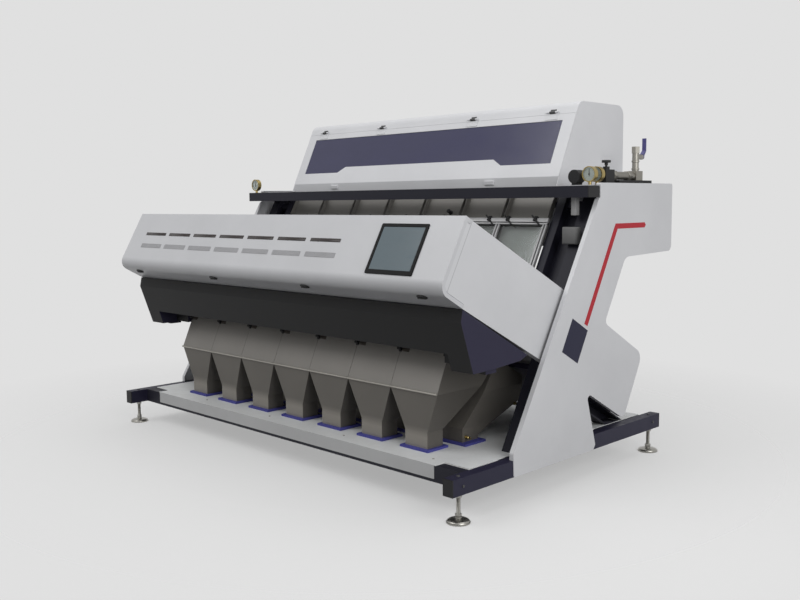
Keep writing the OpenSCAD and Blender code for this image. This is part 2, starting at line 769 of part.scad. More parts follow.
// hinge rod with its blocks, and a catch above each block
module door_fittings() {
    color("dimgray") {
        rod_x(hinge_pt, 2.3, -bank, bank);
        for (i = [0 : channels]) {
            x0 = i == 0 ? wx(i) + 1 : wx(i) - 8;
            x1 = i == channels ? wx(i) - 1 : wx(i) + 8;
            bar_x([ridge + door_dir * 3, ridge + door_dir * 16, ridge + door_dir * 12 + door_out * 12,
                ridge - door_dir * 4 + door_out * 12, ridge - door_dir * 4 + door_out * 1.5], x0, x1);
            bar_x([ridge + door_dir * (door_len - 26), ridge + door_dir * (door_len + 6),
                ridge + door_dir * (door_len + 6) + door_out * 9,
                ridge + door_dir * (door_len - 26) + door_out * 9], x0, x1);
        }
    }
}

// console
// outline of the lid skin between two offsets from the outer face
module lid_skin(d0, d1, x0, x1) {
    r = con_r;
    slab(face_a0, con_top, face_b + d0, face_b + d1, x0, x1);
    slab(con_low + d0, con_low + d1, face_b + r, lid_back, x0, x1);
    intersection() {
        difference() {
            rod_x(bend_c, r - d0, x0, x1);
            rod_x(bend_c, r - d1, x0 - 1, x1 + 1);
        }
        slab(con_low - 20, face_a0, face_b - 20, face_b + r, x0, x1);
    }
}

lid_hinge_x = [for (k = [-2 : 2]) k * (half_w - 260) / 2];

module console_lid() {
    ax = at(lid_axis_a, lid_axis_b);
    color("white") difference() {
        union() {
            lid_skin(0, sheet, -lid_end, lid_end);
            slab(con_top - sheet, con_top, face_b, face_b + 42, -lid_end, lid_end);
            both() lid_skin(0, 20, lid_end - sheet, lid_end);
            for (x = lid_hinge_x) {
                for (d = [-45, 21]) rod_x(ax, 5, x + d, x + d + 24);
                for (d = [-45, 21])
                    slab(con_top - 1, con_top + 4, face_b + 14, lid_axis_b - 2, x + d, x + d + 24);
            }
        }
        for (x = lid_hinge_x) rod_x(ax, 2.5, x - 46, x + 46);
        for (x = latch_x) stem(x, con_low - 2, con_low + sheet + 2, 8.4);
    }
}

// round stem square to the console underside
module stem(x, a0, a1, r) {
    p = at(a0, latch_b);
    translate([x, p[0], p[1]]) rotate([lean - 90, 0, 0]) cylinder(h = a1 - a0, r = r);
}

// pan with the end arms, back, top and lower wall
module console_body() {
    ax = at(lid_axis_a, lid_axis_b);
    arm_r = con_r - 22;
    arm = [at(con_low + 22, lid_back + 3), at(con_low, lid_back + 3), at(con_low + 16, post_b0),
        at(con_top + 27, post_b0), at(con_top, face_b + 44), at(con_top - 22, face_b + 44),
        at(con_top - 22, face_b + 22),
        for (t = [0 : 15 : 90]) at(face_a0 - arm_r * sin(t), face_b + con_r - arm_r * cos(t))];
    color("whitesmoke") {
        both() difference() {
            bar_x(arm, arm_in, arm_out);
            bar_x(inset(arm, sheet), arm_in - 1, arm_out - sheet);
        }
        slab(con_top - sheet, con_top, face_b + 47, con_back, -arm_out + 1, arm_out - 1);
        slab(con_low + 7, con_top, con_back - sheet, con_back, -arm_out + 1, arm_out - 1);
        slab(con_low + 7, con_low + 7 + sheet, latch_b + 30, con_back, -arm_out + 1, arm_out - 1);
        for (x = lid_hinge_x) {
            rod_x(ax, 5, x - 20.5, x + 20.5);
            rod_x(ax, 2, x - 45, x + 45);
            slab(con_top - 1, con_top + 4, lid_axis_b + 2, face_b + 80, x - 20.5, x + 20.5);
        }
    }
}

screen_x = half_w - 408;
screen_a = -11;

module lid_screen() {
    w = screen_w / 2;
    h = screen_h / 2;
    color("black") difference() {
        slab(screen_a - h, screen_a + h, face_b - 6, face_b - seat, screen_x - w, screen_x + w);
        slab(screen_a - h + 22, screen_a + h - 18, face_b - 7, face_b - 3,
            screen_x - w + 19, screen_x + w - 19);
    }
    color("slategray")
        slab(screen_a - h + 22.2, screen_a + h - 18.2, face_b - 5, face_b - 3.2,
            screen_x - w + 19.2, screen_x + w - 19.2);
}

module lid_slots() {
    for (i = [0 : channels - 1]) {
        x = -half_w + 332 + i * slot_pitch;
        color("black") slab(10, 30, face_b - 1.2, face_b - seat, x - 118, x + 118);
        color("darkgray") slab(-77, -49, face_b - 1.2, face_b - seat, x - 118, x + 118);
    }
}

// quarter turn latch: head under the lid, stem and cam inside, drawn released
module lid_latch(i) {
    x = latch_x[i - 1];
    p = at(con_low - gap, latch_b);
    color("dimgray") {
        translate([x, p[0], p[1]]) rotate([lean + 90, 0, 0]) {
            cylinder(h = 5, r = 19);
            translate([-15, -4, 4]) cube([30, 8, 8]);
        }
        stem(x, con_low - gap - eps, con_low + 22, 8);
        slab(con_low + 13, con_low + 20, latch_b - 9, latch_b + 9, x - 12, x + 46);
    }
}
module lid_latch_1() lid_latch(1);
module lid_latch_2() lid_latch(2);
module lid_latch_3() lid_latch(3);
module lid_latch_4() lid_latch(4);

// air set on the right deck ear
knob_y = 387;
valve_y = 682;
riser_r = 18;
lever_z = deck_z + 158;
muffler_r = 36;
muffler_x = air_x - gauge_d / 2 - muffler_r - 8;

module air_regulator() {
    z = deck_z;
    color("dimgray") {
        box(air_x - 30, air_x + 30, 473, 808, z, z + 27);
        box(air_x - 26, air_x + 26, knob_y - 42, knob_y + 42, z, z + 82);
        translate([air_x, knob_y, z + 80]) cylinder(h = 18, r = 18);
        translate([air_x, knob_y, z + 90]) cylinder(h = 28, r = 6);
        rod_y(muffler_x, z + muffler_r + 9, muffler_r, topbeam_y1 + 6, topbeam_y1 + 66);
        box(muffler_x - 20, muffler_x + 20, topbeam_y1 + 16, topbeam_y1 + 56, z, z + 30);
    }
}

module air_valve() {
    z = deck_z + 27;
    color("silver") {
        rod_y(air_x, z + 24, 22, knob_y + 42, valve_y + 30);
        box(air_x - 26, air_x + 26, valve_y - 34, valve_y + 34, z, z + 52);
        difference() {
            union() {
                translate([air_x, valve_y, z + 50]) cylinder(h = 136, r = riser_r);
                translate([air_x, valve_y, z + 150]) cylinder(h = 36, r = riser_r + 6, $fn = 6);
            }
            translate([air_x, valve_y, z + 186 - port_l]) cylinder(h = port_l + 1, d = port_d);
        }
        rod_y(air_x, lever_z, 15, valve_y + 10, valve_y + 62);
        rod_y(air_x, lever_z, 5, valve_y + 60, valve_y + 78);
    }
}

module valve_lever() {
    y = valve_y + 62 + gap;
    color("mediumblue") difference() {
        union() {
            rod_y(air_x, lever_z, 14, y, y + 8);
            bar_x([[y, lever_z], [y + 8, lever_z], [y + 32, lever_z + 34], [y + 32, lever_z + lever_len],
                [y + 24, lever_z + lever_len], [y + 24, lever_z + 37], [y, lever_z + 14]],
                air_x - 11, air_x + 11);
        }
        rod_y(air_x, lever_z, 5.4, y - 1, y + 20);
    }
}

module regulator_knob() {
    color("black") translate([air_x, knob_y, deck_z + 118 + gap]) difference() {
        union() {
            cylinder(h = 14, r = 24);
            translate([0, 0, -14]) cylinder(h = 15, r = 9);
        }
        translate([0, 0, -20]) cylinder(h = 20, r = 6.4);
    }
}

// gauge case with its dial well, standing on a stem
gauges = [
    [air_x, topbeam_y1 + 30, deck_z], [air_x, topbeam_y1 + 96, deck_z],
    [-half_w + 30, topbeam_y0 + 46, rail_top]
];
function gauge_z(i) = gauges[i][2] + 15 + gauge_d / 2;

module air_gauges() {
    color("goldenrod") for (i = [0 : 2]) {
        g = gauges[i];
        z = gauge_z(i);
        difference() {
            rod_y(g[0], z, gauge_d / 2, g[1] - 14, g[1] + 14);
            rod_y(g[0], z, gauge_d / 2 - 5, g[1] - 15, g[1] - 7);
        }
        rod_y(g[0], z, 1.5, g[1] - 12, g[1] - 6);
        translate([g[0], g[1], g[2]]) cylinder(h = 20, r = 9);
    }
}

module gauge_needle(i) {
    g = gauges[i - 1];
    z = gauge_z(i - 1);
    color("black") difference() {
        union() {
            rod_y(g[0], z, 5, g[1] - 9, g[1] - 7 - gap);
            box(g[0] - 1.5, g[0] + 1.5, g[1] - 9, g[1] - 7 - gap, z - 12, z + gauge_d / 2 - 12);
        }
        rod_y(g[0], z, 1.9, g[1] - 15, g[1]);
    }
}
module gauge_needle_1() gauge_needle(1);
module gauge_needle_2() gauge_needle(2);
module gauge_needle_3() gauge_needle(3);

base_beam_left();
base_beam_right();
cross_beams();
beam_end_caps();
base_tray();
outlet_mats();
foot_front_left();
foot_front_right();
foot_rear_left();
foot_rear_right();
side_frame_left();
side_frame_right();
side_panel_left();
side_panel_right();
side_trim();
cross_members();
feeder_deck();
hood_shell();
hood_flap();
hood_window();
hood_hinges();
inlet_hopper();
feeder_trays();
feeder_drives();
chutes();
glass_frame();
glass_panes();
rail_clips();
front_camera_box();
rear_camera_box();
camera_windows();
front_optics();
rear_optics();
ejector_bar();
front_funnels();
rear_funnels();
sample_door_1();
sample_door_2();
sample_door_3();
sample_door_4();
sample_door_5();
sample_door_6();
sample_door_7();
door_fittings();
console_body();
console_lid();
lid_screen();
lid_slots();
lid_latch_1();
lid_latch_2();
lid_latch_3();
lid_latch_4();
air_regulator();
air_valve();
air_gauges();
regulator_knob();
valve_lever();
gauge_needle_1();
gauge_needle_2();
gauge_needle_3();
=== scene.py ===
import json
import math

import bpy
import numpy as np
from mathutils import Matrix, Vector


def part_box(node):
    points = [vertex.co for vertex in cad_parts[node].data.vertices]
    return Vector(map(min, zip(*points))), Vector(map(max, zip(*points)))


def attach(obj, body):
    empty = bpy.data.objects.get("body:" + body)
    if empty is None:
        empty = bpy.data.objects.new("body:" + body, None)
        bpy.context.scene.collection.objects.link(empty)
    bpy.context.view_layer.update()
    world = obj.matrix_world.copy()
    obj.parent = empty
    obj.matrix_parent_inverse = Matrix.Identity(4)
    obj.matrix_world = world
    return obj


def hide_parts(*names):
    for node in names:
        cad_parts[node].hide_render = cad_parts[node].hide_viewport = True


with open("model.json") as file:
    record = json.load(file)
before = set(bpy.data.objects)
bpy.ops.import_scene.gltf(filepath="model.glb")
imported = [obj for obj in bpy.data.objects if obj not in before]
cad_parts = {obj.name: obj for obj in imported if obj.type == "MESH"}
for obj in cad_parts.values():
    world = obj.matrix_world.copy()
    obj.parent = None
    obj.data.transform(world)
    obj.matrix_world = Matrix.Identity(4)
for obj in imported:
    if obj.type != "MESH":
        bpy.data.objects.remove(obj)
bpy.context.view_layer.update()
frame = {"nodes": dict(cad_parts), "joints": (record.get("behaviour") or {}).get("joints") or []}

# Shared places, in metres, as the machine is built
LEAN = math.radians(61)
CAMERA_LINE = (-0.07, 0.8)
PITCH = 0.325
CHANNELS = 7
DOOR_ROW = CHANNELS * PITCH / 2
HALF_WIDTH = 1.46
LATCHES = 4
FACE_B = -0.915
CONSOLE_TOP = 0.164
CONSOLE_LOW = -0.212
LATCH_B = -0.845
RAIL_A = 0.572
DECK_TOP = 1.53
TRAY_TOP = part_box("base_tray")[1].z
SKIRT_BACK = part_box("feeder_deck")[1].y
LID = "console_lid"
FIXED = "machine"
FEET = [f"foot_{end}_{side}" for end in ("front", "rear") for side in ("left", "right")]


RISE, RUN = math.sin(LEAN), math.cos(LEAN)


def slanted(x, a, b):
    """A point of the slanted works: a runs up along the chutes and b square to them towards the rear."""
    return np.array([x, CAMERA_LINE[0] + a * RUN + b * RISE, CAMERA_LINE[1] + a * RISE - b * RUN])


UP_SLOPE = np.array([0.0, RUN, RISE])
OFF_FACE = np.array([0.0, -RISE, RUN])
ACROSS = np.array([1.0, 0.0, 0.0])
CONSOLE_BASIS = np.stack([ACROSS, UP_SLOPE, OFF_FACE])
YZ_BASIS = np.array([[0.0, 1.0, 0.0], [0.0, 0.0, 1.0], [1.0, 0.0, 0.0]])


def on_face(x, a, out=0.0):
    """A point on the console face, or so far out from it."""
    return slanted(x, a, FACE_B - out)


def channel_x(i):
    """Middle of a chute, counted from the left."""
    return (i - (CHANNELS - 1) / 2) * PITCH


def edge_x(i):
    """Line between two chutes, counted from the left end of the row."""
    return (i - CHANNELS / 2) * PITCH


# Meshes from arrays

def ring_faces(rows, cols):
    """Quads between rings of points held row by row, each ring joined round, and a flat cap on both ends."""
    row, col = np.meshgrid(np.arange(rows - 1), np.arange(cols), indexing="ij")
    ahead = (col + 1) % cols
    corners = [row * cols + col, row * cols + ahead, (row + 1) * cols + ahead, (row + 1) * cols + col]
    last = (rows - 1) * cols
    caps = [list(range(cols))[::-1], list(range(last, last + cols))]
    return np.stack(corners, -1).reshape(-1, 4).tolist() + caps


def joined(parts):
    """One shape from several: the corners end to end, and each face counted on from the corners before it."""
    corners, faces, start = [], [], 0
    for points, quads in parts:
        corners.append(points)
        faces += [[start + i for i in face] for face in quads]
        start += len(points)
    return np.concatenate(corners), faces


def four_corners(steps):
    """One quarter turn, four of them end to end, and the signs of the corner that each angle belongs to."""
    quarter = np.linspace(0, math.pi / 2, steps + 1)
    turn = (np.arange(4)[:, None] * math.pi / 2 + quarter).ravel()
    signs = np.array([[1, 1], [-1, 1], [-1, -1], [1, -1]]).repeat(steps + 1, axis=0)
    return quarter, turn, signs


def rounded_box(centre, half, radius, basis=np.eye(3), steps=3):
    """A box with round edges: each corner eighth of a ball of the radius, pushed out to its box corner."""
    quarter, turn, signs = four_corners(steps)
    rise = np.concatenate([quarter - math.pi / 2, quarter])
    up = np.repeat([-1, 1], steps + 1)
    x = radius * np.cos(rise)[:, None] * np.cos(turn) + (half[0] - radius) * signs[:, 0]
    y = radius * np.cos(rise)[:, None] * np.sin(turn) + (half[1] - radius) * signs[:, 1]
    z = np.repeat((radius * np.sin(rise) + (half[2] - radius) * up)[:, None], len(turn), 1)
    points = np.stack([x, y, z], -1)
    return (points @ basis).reshape(-1, 3) + centre, ring_faces(len(rise), len(turn))


def outline(half_w, half_h, radius):
    """A rectangle with round corners, against the clock: quarter circles pushed out to the four corners."""
    _, turn, signs = four_corners(4)
    ends = (np.array([half_w, half_h]) - radius) * signs
    return np.stack([np.cos(turn), np.sin(turn)], -1) * radius + ends


def stacked(layers, centre, basis=np.eye(3)):
    """A shape of stacked outlines, closed at both ends: each layer is half width, half height, corner,
    level and, if it is off centre, a shift."""
    rings = []
    for half_w, half_h, radius, level, *shift in layers:
        flat = outline(half_w, half_h, radius) + (shift[0] if shift else (0.0, 0.0))
        rings.append(np.column_stack([flat, np.full(len(flat), level)]))
    return np.concatenate(rings) @ basis + centre, ring_faces(len(rings), len(rings[0]))


def slope_box(x0, x1, a0, a1, b0, b1, radius):
    """A box with round edges, square to the chutes, between two places in x, a and b."""
    half = np.abs([x1 - x0, a1 - a0, b1 - b0]) / 2
    return rounded_box(slanted((x0 + x1) / 2, (a0 + a1) / 2, (b0 + b1) / 2), half, radius, CONSOLE_BASIS, 2)


def level_box(low, high, radius):
    """A box with round edges between its lowest and highest corner."""
    low, high = np.asarray(low, float), np.asarray(high, float)
    return rounded_box((low + high) / 2, (high - low) / 2, radius, steps=2)


def prism(flat, low, high, basis, origin=(0.0, 0.0, 0.0)):
    """A plate or bar: a flat outline, against the clock, carried between two levels along the basis's
    last direction."""
    flat = np.asarray(flat, float)
    rings = [np.column_stack([flat, np.full(len(flat), level)]) for level in (low, high)]
    return np.concatenate(rings) @ basis + origin, ring_faces(2, len(flat))


def lathe(profile, sides=32):
    """A turned shape: each (radius, height) of the profile carried round the Z axis, ends closed flat."""
    profile = np.asarray(profile, float)
    turn = np.linspace(0, 2 * math.pi, sides, endpoint=False)
    x = profile[:, :1] * np.cos(turn)
    y = profile[:, :1] * np.sin(turn)
    z = np.repeat(profile[:, 1:], sides, 1)
    return np.stack([x, y, z], -1).reshape(-1, 3), ring_faces(len(profile), sides)


def basis_along(direction):
    """Three square directions as rows, the last one along the direction given."""
    w = np.asarray(direction, float) / np.linalg.norm(direction)
    u = np.cross([0, 0, 1] if abs(w[2]) < 0.9 else [1, 0, 0], w)
    u = u / np.linalg.norm(u)
    return np.stack([u, np.cross(w, u), w])


def placed(shape, points, direction):
    """Copies of a shape made along +Z: each is turned to the direction and moved to one of the points."""
    corners, faces = shape
    turned = corners @ basis_along(direction)
    return joined([(turned + point, faces) for point in np.asarray(points, float).reshape(-1, 3)])


def tube(path, radius, sides=12):
    """A round tube: a circle carried along the path, square to the path at each of its points."""
    path = np.asarray(path, float)
    ahead = np.gradient(path, axis=0)
    ahead /= np.linalg.norm(ahead, axis=1, keepdims=True)
    side = np.cross(ahead, [0.31, 0.17, 0.93])
    side /= np.linalg.norm(side, axis=1, keepdims=True)
    other = np.cross(ahead, side)
    turn = np.linspace(0, 2 * math.pi, sides, endpoint=False)
    ring = np.cos(turn)[None, :, None] * side[:, None] + np.sin(turn)[None, :, None] * other[:, None]
    return (path[:, None] + radius * ring).reshape(-1, 3), ring_faces(len(path), sides)


def new_object(name, data):
    """An object of the scene, at the origin, that shows the data."""
    made = bpy.data.objects.new(name, data)
    bpy.context.scene.collection.objects.link(made)
    return made


def add_piece(name, shape, finish, body=FIXED, replaces=(), smooth=35):
    """Puts a shape, or a list of them, into a mesh object at the origin, smooth but for its sharp edges.
    The finish is named. The piece rides on a body and shows in place of the nodes that it replaces."""
    corners, faces = joined(shape) if isinstance(shape, list) else shape
    mesh = bpy.data.meshes.new(name)
    mesh.from_pydata(corners.tolist(), [], faces)
    mesh.validate()
    mesh.materials.append(finishes[finish])
    mesh.shade_smooth()
    mesh.set_sharp_from_angle(angle=math.radians(smooth))
    piece = new_object(name, mesh)
    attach(piece, body)
    if replaces:
        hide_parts(*replaces)
    return piece


# Shader groups that several finishes share

def new_group(name, inputs, outputs):
    """An empty shader group that takes a vector and numbers, each with its start value, and gives numbers."""
    tree = bpy.data.node_groups.new(name, "ShaderNodeTree")
    tree.interface.new_socket("Vector", in_out="INPUT", socket_type="NodeSocketVector")
    for label, value in inputs.items():
        socket = tree.interface.new_socket(label, in_out="INPUT", socket_type="NodeSocketFloat")
        socket.default_value = value
    for label in outputs:
        tree.interface.new_socket(label, in_out="OUTPUT", socket_type="NodeSocketFloat")
    return tree, tree.nodes.new("NodeGroupInput"), tree.nodes.new("NodeGroupOutput")


def node(tree, kind, values=None, **settings):
    """One node of a tree, with its settings and the start values of its inputs."""
    made = tree.nodes.new("ShaderNode" + kind)
    for key, value in settings.items():
        setattr(made, key, value)
    for key, value in (values or {}).items():
        made.inputs[key].default_value = value
    return made


def feed(tree, value, socket):
    """A value into a socket: another socket is linked, a number or a colour is set."""
    if isinstance(value, bpy.types.NodeSocket):
        tree.links.new(value, socket)
    else:
        socket.default_value = value


def noise(tree, vector, scale, detail=3.0, rough=0.5):
    """Cloudy noise on a vector; the scale is a number or a socket."""
    made = node(tree, "TexNoise", {"Detail": detail, "Roughness": rough})
    feed(tree, vector, made.inputs["Vector"])
    feed(tree, scale, made.inputs["Scale"])
    return made.outputs["Fac"]


def spread(tree, value, low, high, to_low=0.0, to_high=1.0):
    """A value taken from one range to another and held at its ends, each a number or a socket."""
    made = node(tree, "MapRange")
    for socket, given in zip(made.inputs, (value, low, high, to_low, to_high)):
        feed(tree, given, socket)
    return made.outputs["Result"]


def math_of(tree, operation, first, second):
    """Two values, each a number or a socket, put through one operation."""
    made = node(tree, "Math", operation=operation)
    feed(tree, first, made.inputs[0])
    feed(tree, second, made.inputs[1])
    return made.outputs["Value"]


def times(tree, first, second):
    """Two values, each a number or a socket, multiplied."""
    return math_of(tree, "MULTIPLY", first, second)


def stretched(tree, vector, factors):
    """A vector multiplied by three factors, which draws a pattern out along the smallest one."""
    made = node(tree, "VectorMath", operation="MULTIPLY")
    feed(tree, vector, made.inputs[0])
    feed(tree, factors, made.inputs[1])
    return made.outputs["Vector"]


def axes(tree, vector):
    """The three numbers of a vector, as sockets X, Y and Z."""
    made = node(tree, "SeparateXYZ")
    feed(tree, vector, made.inputs["Vector"])
    return made.outputs


def normal_axes(tree):
    """The three numbers of the direction in which the surface looks."""
    return axes(tree, node(tree, "NewGeometry").outputs["Normal"])


def along(tree, vector, direction):
    """How far a vector reaches along a direction."""
    made = node(tree, "VectorMath", operation="DOT_PRODUCT")
    feed(tree, vector, made.inputs[0])
    feed(tree, direction, made.inputs[1])
    return made.outputs["Value"]


def coat_group():
    """Powder coat: fine peel as height, slow cloudiness as tone, and rubbed streaks as marks."""
    tree, start, end = new_group("powder_coat", {"Peel Scale": 420.0}, ["Height", "Tone", "Marks"])
    vector = start.outputs["Vector"]
    feed(tree, noise(tree, vector, start.outputs["Peel Scale"], 2.0), end.inputs["Height"])
    feed(tree, noise(tree, vector, 2.3, 4.0, 0.6), end.inputs["Tone"])
    streak = noise(tree, stretched(tree, vector, (9.0, 60.0, 26.0)), 1.0, 5.0, 0.7)
    feed(tree, spread(tree, streak, 0.62, 0.78), end.inputs["Marks"])
    return tree


def dust_group():
    """Settled dust: more on faces that look up and near the floor, broken up by noise."""
    tree, start, end = new_group("settled_dust", {"Reach": 0.5}, ["Mask"])
    vector = start.outputs["Vector"]
    low = spread(tree, axes(tree, vector)["Z"], 0.0, start.outputs["Reach"], 0.7, 0.0)
    flat = spread(tree, normal_axes(tree)["Z"], 0.55, 1.0, 0.0, 0.8)
    broken = spread(tree, noise(tree, vector, 11.0, 6.0, 0.65), 0.35, 0.75)
    total = math_of(tree, "MAXIMUM", low, flat)
    feed(tree, times(tree, total, broken), end.inputs["Mask"])
    return tree


def brush_group():
    """Brushed metal: noise drawn out along X as fine lines, with a slow change of tone over it."""
    tree, start, end = new_group("brushed_lines", {}, ["Height", "Tone"])
    vector = start.outputs["Vector"]
    lines = noise(tree, stretched(tree, vector, (5.0, 900.0, 900.0)), 1.0, 4.0, 0.6)
    cloud = noise(tree, vector, 3.1, 3.0)
    feed(tree, lines, end.inputs["Height"])
    mixed = math_of(tree, "ADD", times(tree, lines, 0.5), times(tree, cloud, 0.5))
    feed(tree, mixed, end.inputs["Tone"])
    return tree


def edge_group():
    """Edge rub: how far the rounded normal turns from the true one, broken up by noise."""
    tree, start, end = new_group("edge_rub", {"Radius": 0.004}, ["Mask"])
    bevel = node(tree, "Bevel", samples=4)
    feed(tree, start.outputs["Radius"], bevel.inputs["Radius"])
    true = node(tree, "NewGeometry").outputs["Normal"]
    turned = spread(tree, along(tree, bevel.outputs["Normal"], true), 0.99, 0.8)
    broken = spread(tree, noise(tree, start.outputs["Vector"], 60.0, 4.0, 0.7), 0.4, 0.62)
    feed(tree, times(tree, turned, broken), end.inputs["Mask"])
    return tree


COAT, DUST, BRUSH, EDGE = coat_group(), dust_group(), brush_group(), edge_group()


# Finishes

def spaced(values):
    """Socket names from keywords."""
    return {key.replace("_", " "): value for key, value in values.items()}


def new_finish(name, **values):
    """A material with one Principled shader; values are set on its sockets by their names."""
    made = bpy.data.materials.new(name)
    made.use_nodes = True
    tree = made.node_tree
    tree.nodes.clear()
    end = node(tree, "OutputMaterial")
    shader = node(tree, "BsdfPrincipled", spaced(values))
    feed(tree, shader.outputs["BSDF"], end.inputs["Surface"])
    vector = node(tree, "TexCoord").outputs["Object"]
    return made, tree, shader, vector


def use_group(tree, group, vector, **values):
    """A shared group placed in a material, with its own values."""
    made = node(tree, "Group", spaced(values), node_tree=group)
    feed(tree, vector, made.inputs["Vector"])
    return made


def tint(tree, share, first, second, blend="MIX"):
    """Two colours, each a colour or a socket, mixed or multiplied by a share."""
    made = node(tree, "Mix", data_type="RGBA", blend_type=blend)
    feed(tree, share, made.inputs["Factor"])
    for socket, value in zip((made.inputs[6], made.inputs[7]), (first, second)):
        feed(tree, (*value, 1.0) if isinstance(value, tuple) else value, socket)
    return made.outputs[2]


def surface(tree, shader, shade, gloss, height=None, strength=0.0, distance=0.001):
    """Colour, roughness and, if there is one, a height as bump, into the shader."""
    feed(tree, shade, shader.inputs["Base Color"])
    feed(tree, gloss, shader.inputs["Roughness"])
    if height:
        made = node(tree, "Bump", {"Strength": strength, "Distance": distance})
        feed(tree, height, made.inputs["Height"])
        feed(tree, made.outputs["Normal"], shader.inputs["Normal"])


def darker(colour, share):
    """A colour times a share, paler if the share is over one."""
    return tuple(c * share for c in colour)


DUST_COLOUR = (0.36, 0.33, 0.28)


def coated(name, colour, rough, dust, worn=None, second=None, axis="X", shine=0.5, seam=None):
    """Powder coated sheet: cloudy tone, peel, rub marks, dust and edges worn to another colour.
    The second colour, if any, goes on the faces that look along the axis, both ways; on the tray it is
    painted shade on its lips. A seam is a thin dark line on the end faces, at that depth behind the
    console face."""
    made, tree, shader, vector = new_finish(name, Specular_IOR_Level=shine)
    skin = use_group(tree, COAT, vector)
    sideways = math_of(tree, "GREATER_THAN", math_of(tree, "ABSOLUTE", normal_axes(tree)[axis], 0), 0.8)
    base = tint(tree, sideways, colour, second) if second else colour
    cloud = spread(tree, skin.outputs["Tone"], 0.3, 0.7, 0.0, 0.14)
    shade = tint(tree, cloud, base, (0.45, 0.45, 0.47), "MULTIPLY")
    rub = use_group(tree, EDGE, vector, Radius=0.003)
    rubbed = times(tree, rub.outputs["Mask"], 0.55)
    shade = tint(tree, rubbed, shade, worn or darker(colour, 0.6))
    settled = use_group(tree, DUST, vector, Reach=0.42)
    shade = tint(tree, times(tree, settled.outputs["Mask"], dust), shade, DUST_COLOUR)
    if seam:
        seam_depth = float(np.dot(on_face(0, 0, -seam), -OFF_FACE))
        away = math_of(tree, "SUBTRACT", along(tree, vector, -OFF_FACE), seam_depth)
        line = spread(tree, math_of(tree, "ABSOLUTE", away, 0), 0.0026, 0.0014)
        line = times(tree, line, sideways)
        shade = tint(tree, times(tree, line, 0.4), shade, darker(colour, 0.25))
    gloss = math_of(tree, "ADD", rough, times(tree, skin.outputs["Marks"], -0.1))
    gloss = math_of(tree, "ADD", gloss, times(tree, settled.outputs["Mask"], 0.3))
    surface(tree, shader, shade, gloss, skin.outputs["Height"], 0.06)
    return made


def metal(name, colour, rough, tone=0.25, lines=0.12, dust=0.2, metallic=1.0, ribs=0.0, foot=None):
    """Brushed metal: fine lines in the height and the gloss, a slow change of tone, and a little dust.
    Ribs, if any, are grooves across X, so many to the metre. A foot, if any, is a height and a share:
    below it the faces that look forward are that much paler, as painted light on the lit fronts of the
    spouts."""
    made, tree, shader, vector = new_finish(name, Metallic=metallic)
    brushed = use_group(tree, BRUSH, vector)
    share = spread(tree, brushed.outputs["Tone"], 0.3, 0.7)
    shade = tint(tree, share, darker(colour, 1 - tone), colour)
    # Painted light: below the foot's height, the faces that look forward are drawn paler, as lit.
    if foot:
        level, paler = foot
        below = spread(tree, axes(tree, vector)["Z"], level + 0.025, level - 0.025)
        forward = math_of(tree, "LESS_THAN", normal_axes(tree)["Y"], -0.5)
        shade = tint(tree, times(tree, below, forward), shade, darker(colour, paler))
    settled = use_group(tree, DUST, vector, Reach=0.45)
    shade = tint(tree, times(tree, settled.outputs["Mask"], dust), shade, DUST_COLOUR)
    height = brushed.outputs["Height"]
    gloss = spread(tree, height, 0.2, 0.8, rough - 0.08, rough + 0.1)
    if ribs:
        turn = times(tree, axes(tree, vector)["X"], 2 * math.pi * ribs)
        wave = math_of(tree, "SINE", turn, 0)
        height = math_of(tree, "ADD", height, times(tree, wave, 2.0))
    surface(tree, shader, shade, gloss, height, lines, 0.0006)
    return made


def moulded(name, colour, rough, grain=900.0, depth=0.15, shine=0.4):
    """Moulded plastic or rubber: spark grain as height and a cloudy tone."""
    made, tree, shader, vector = new_finish(name, Specular_IOR_Level=shine)
    skin = use_group(tree, COAT, vector, Peel_Scale=grain)
    share = spread(tree, skin.outputs["Tone"], 0.3, 0.7)
    shade = tint(tree, share, darker(colour, 0.8), colour)
    gloss = spread(tree, skin.outputs["Height"], 0.3, 0.7, rough - 0.06, rough + 0.08)
    surface(tree, shader, shade, gloss, skin.outputs["Height"], depth, 0.0008)
    return made


def clear(name, colour, weight, rough, shine=0.5):
    """Clear or tinted sheet: light passes by the weight, with smears in the gloss."""
    made, tree, shader, vector = new_finish(name, IOR=1.49, Transmission_Weight=weight,
                                            Specular_IOR_Level=shine)
    smear = noise(tree, stretched(tree, vector, (2.0, 6.0, 3.0)), 1.5, 5.0, 0.6)
    gloss = spread(tree, smear, 0.35, 0.7, rough, rough + 0.12)
    shade = tint(tree, spread(tree, smear, 0.3, 0.7), colour, darker(colour, 0.86))
    surface(tree, shader, shade, gloss)
    return made


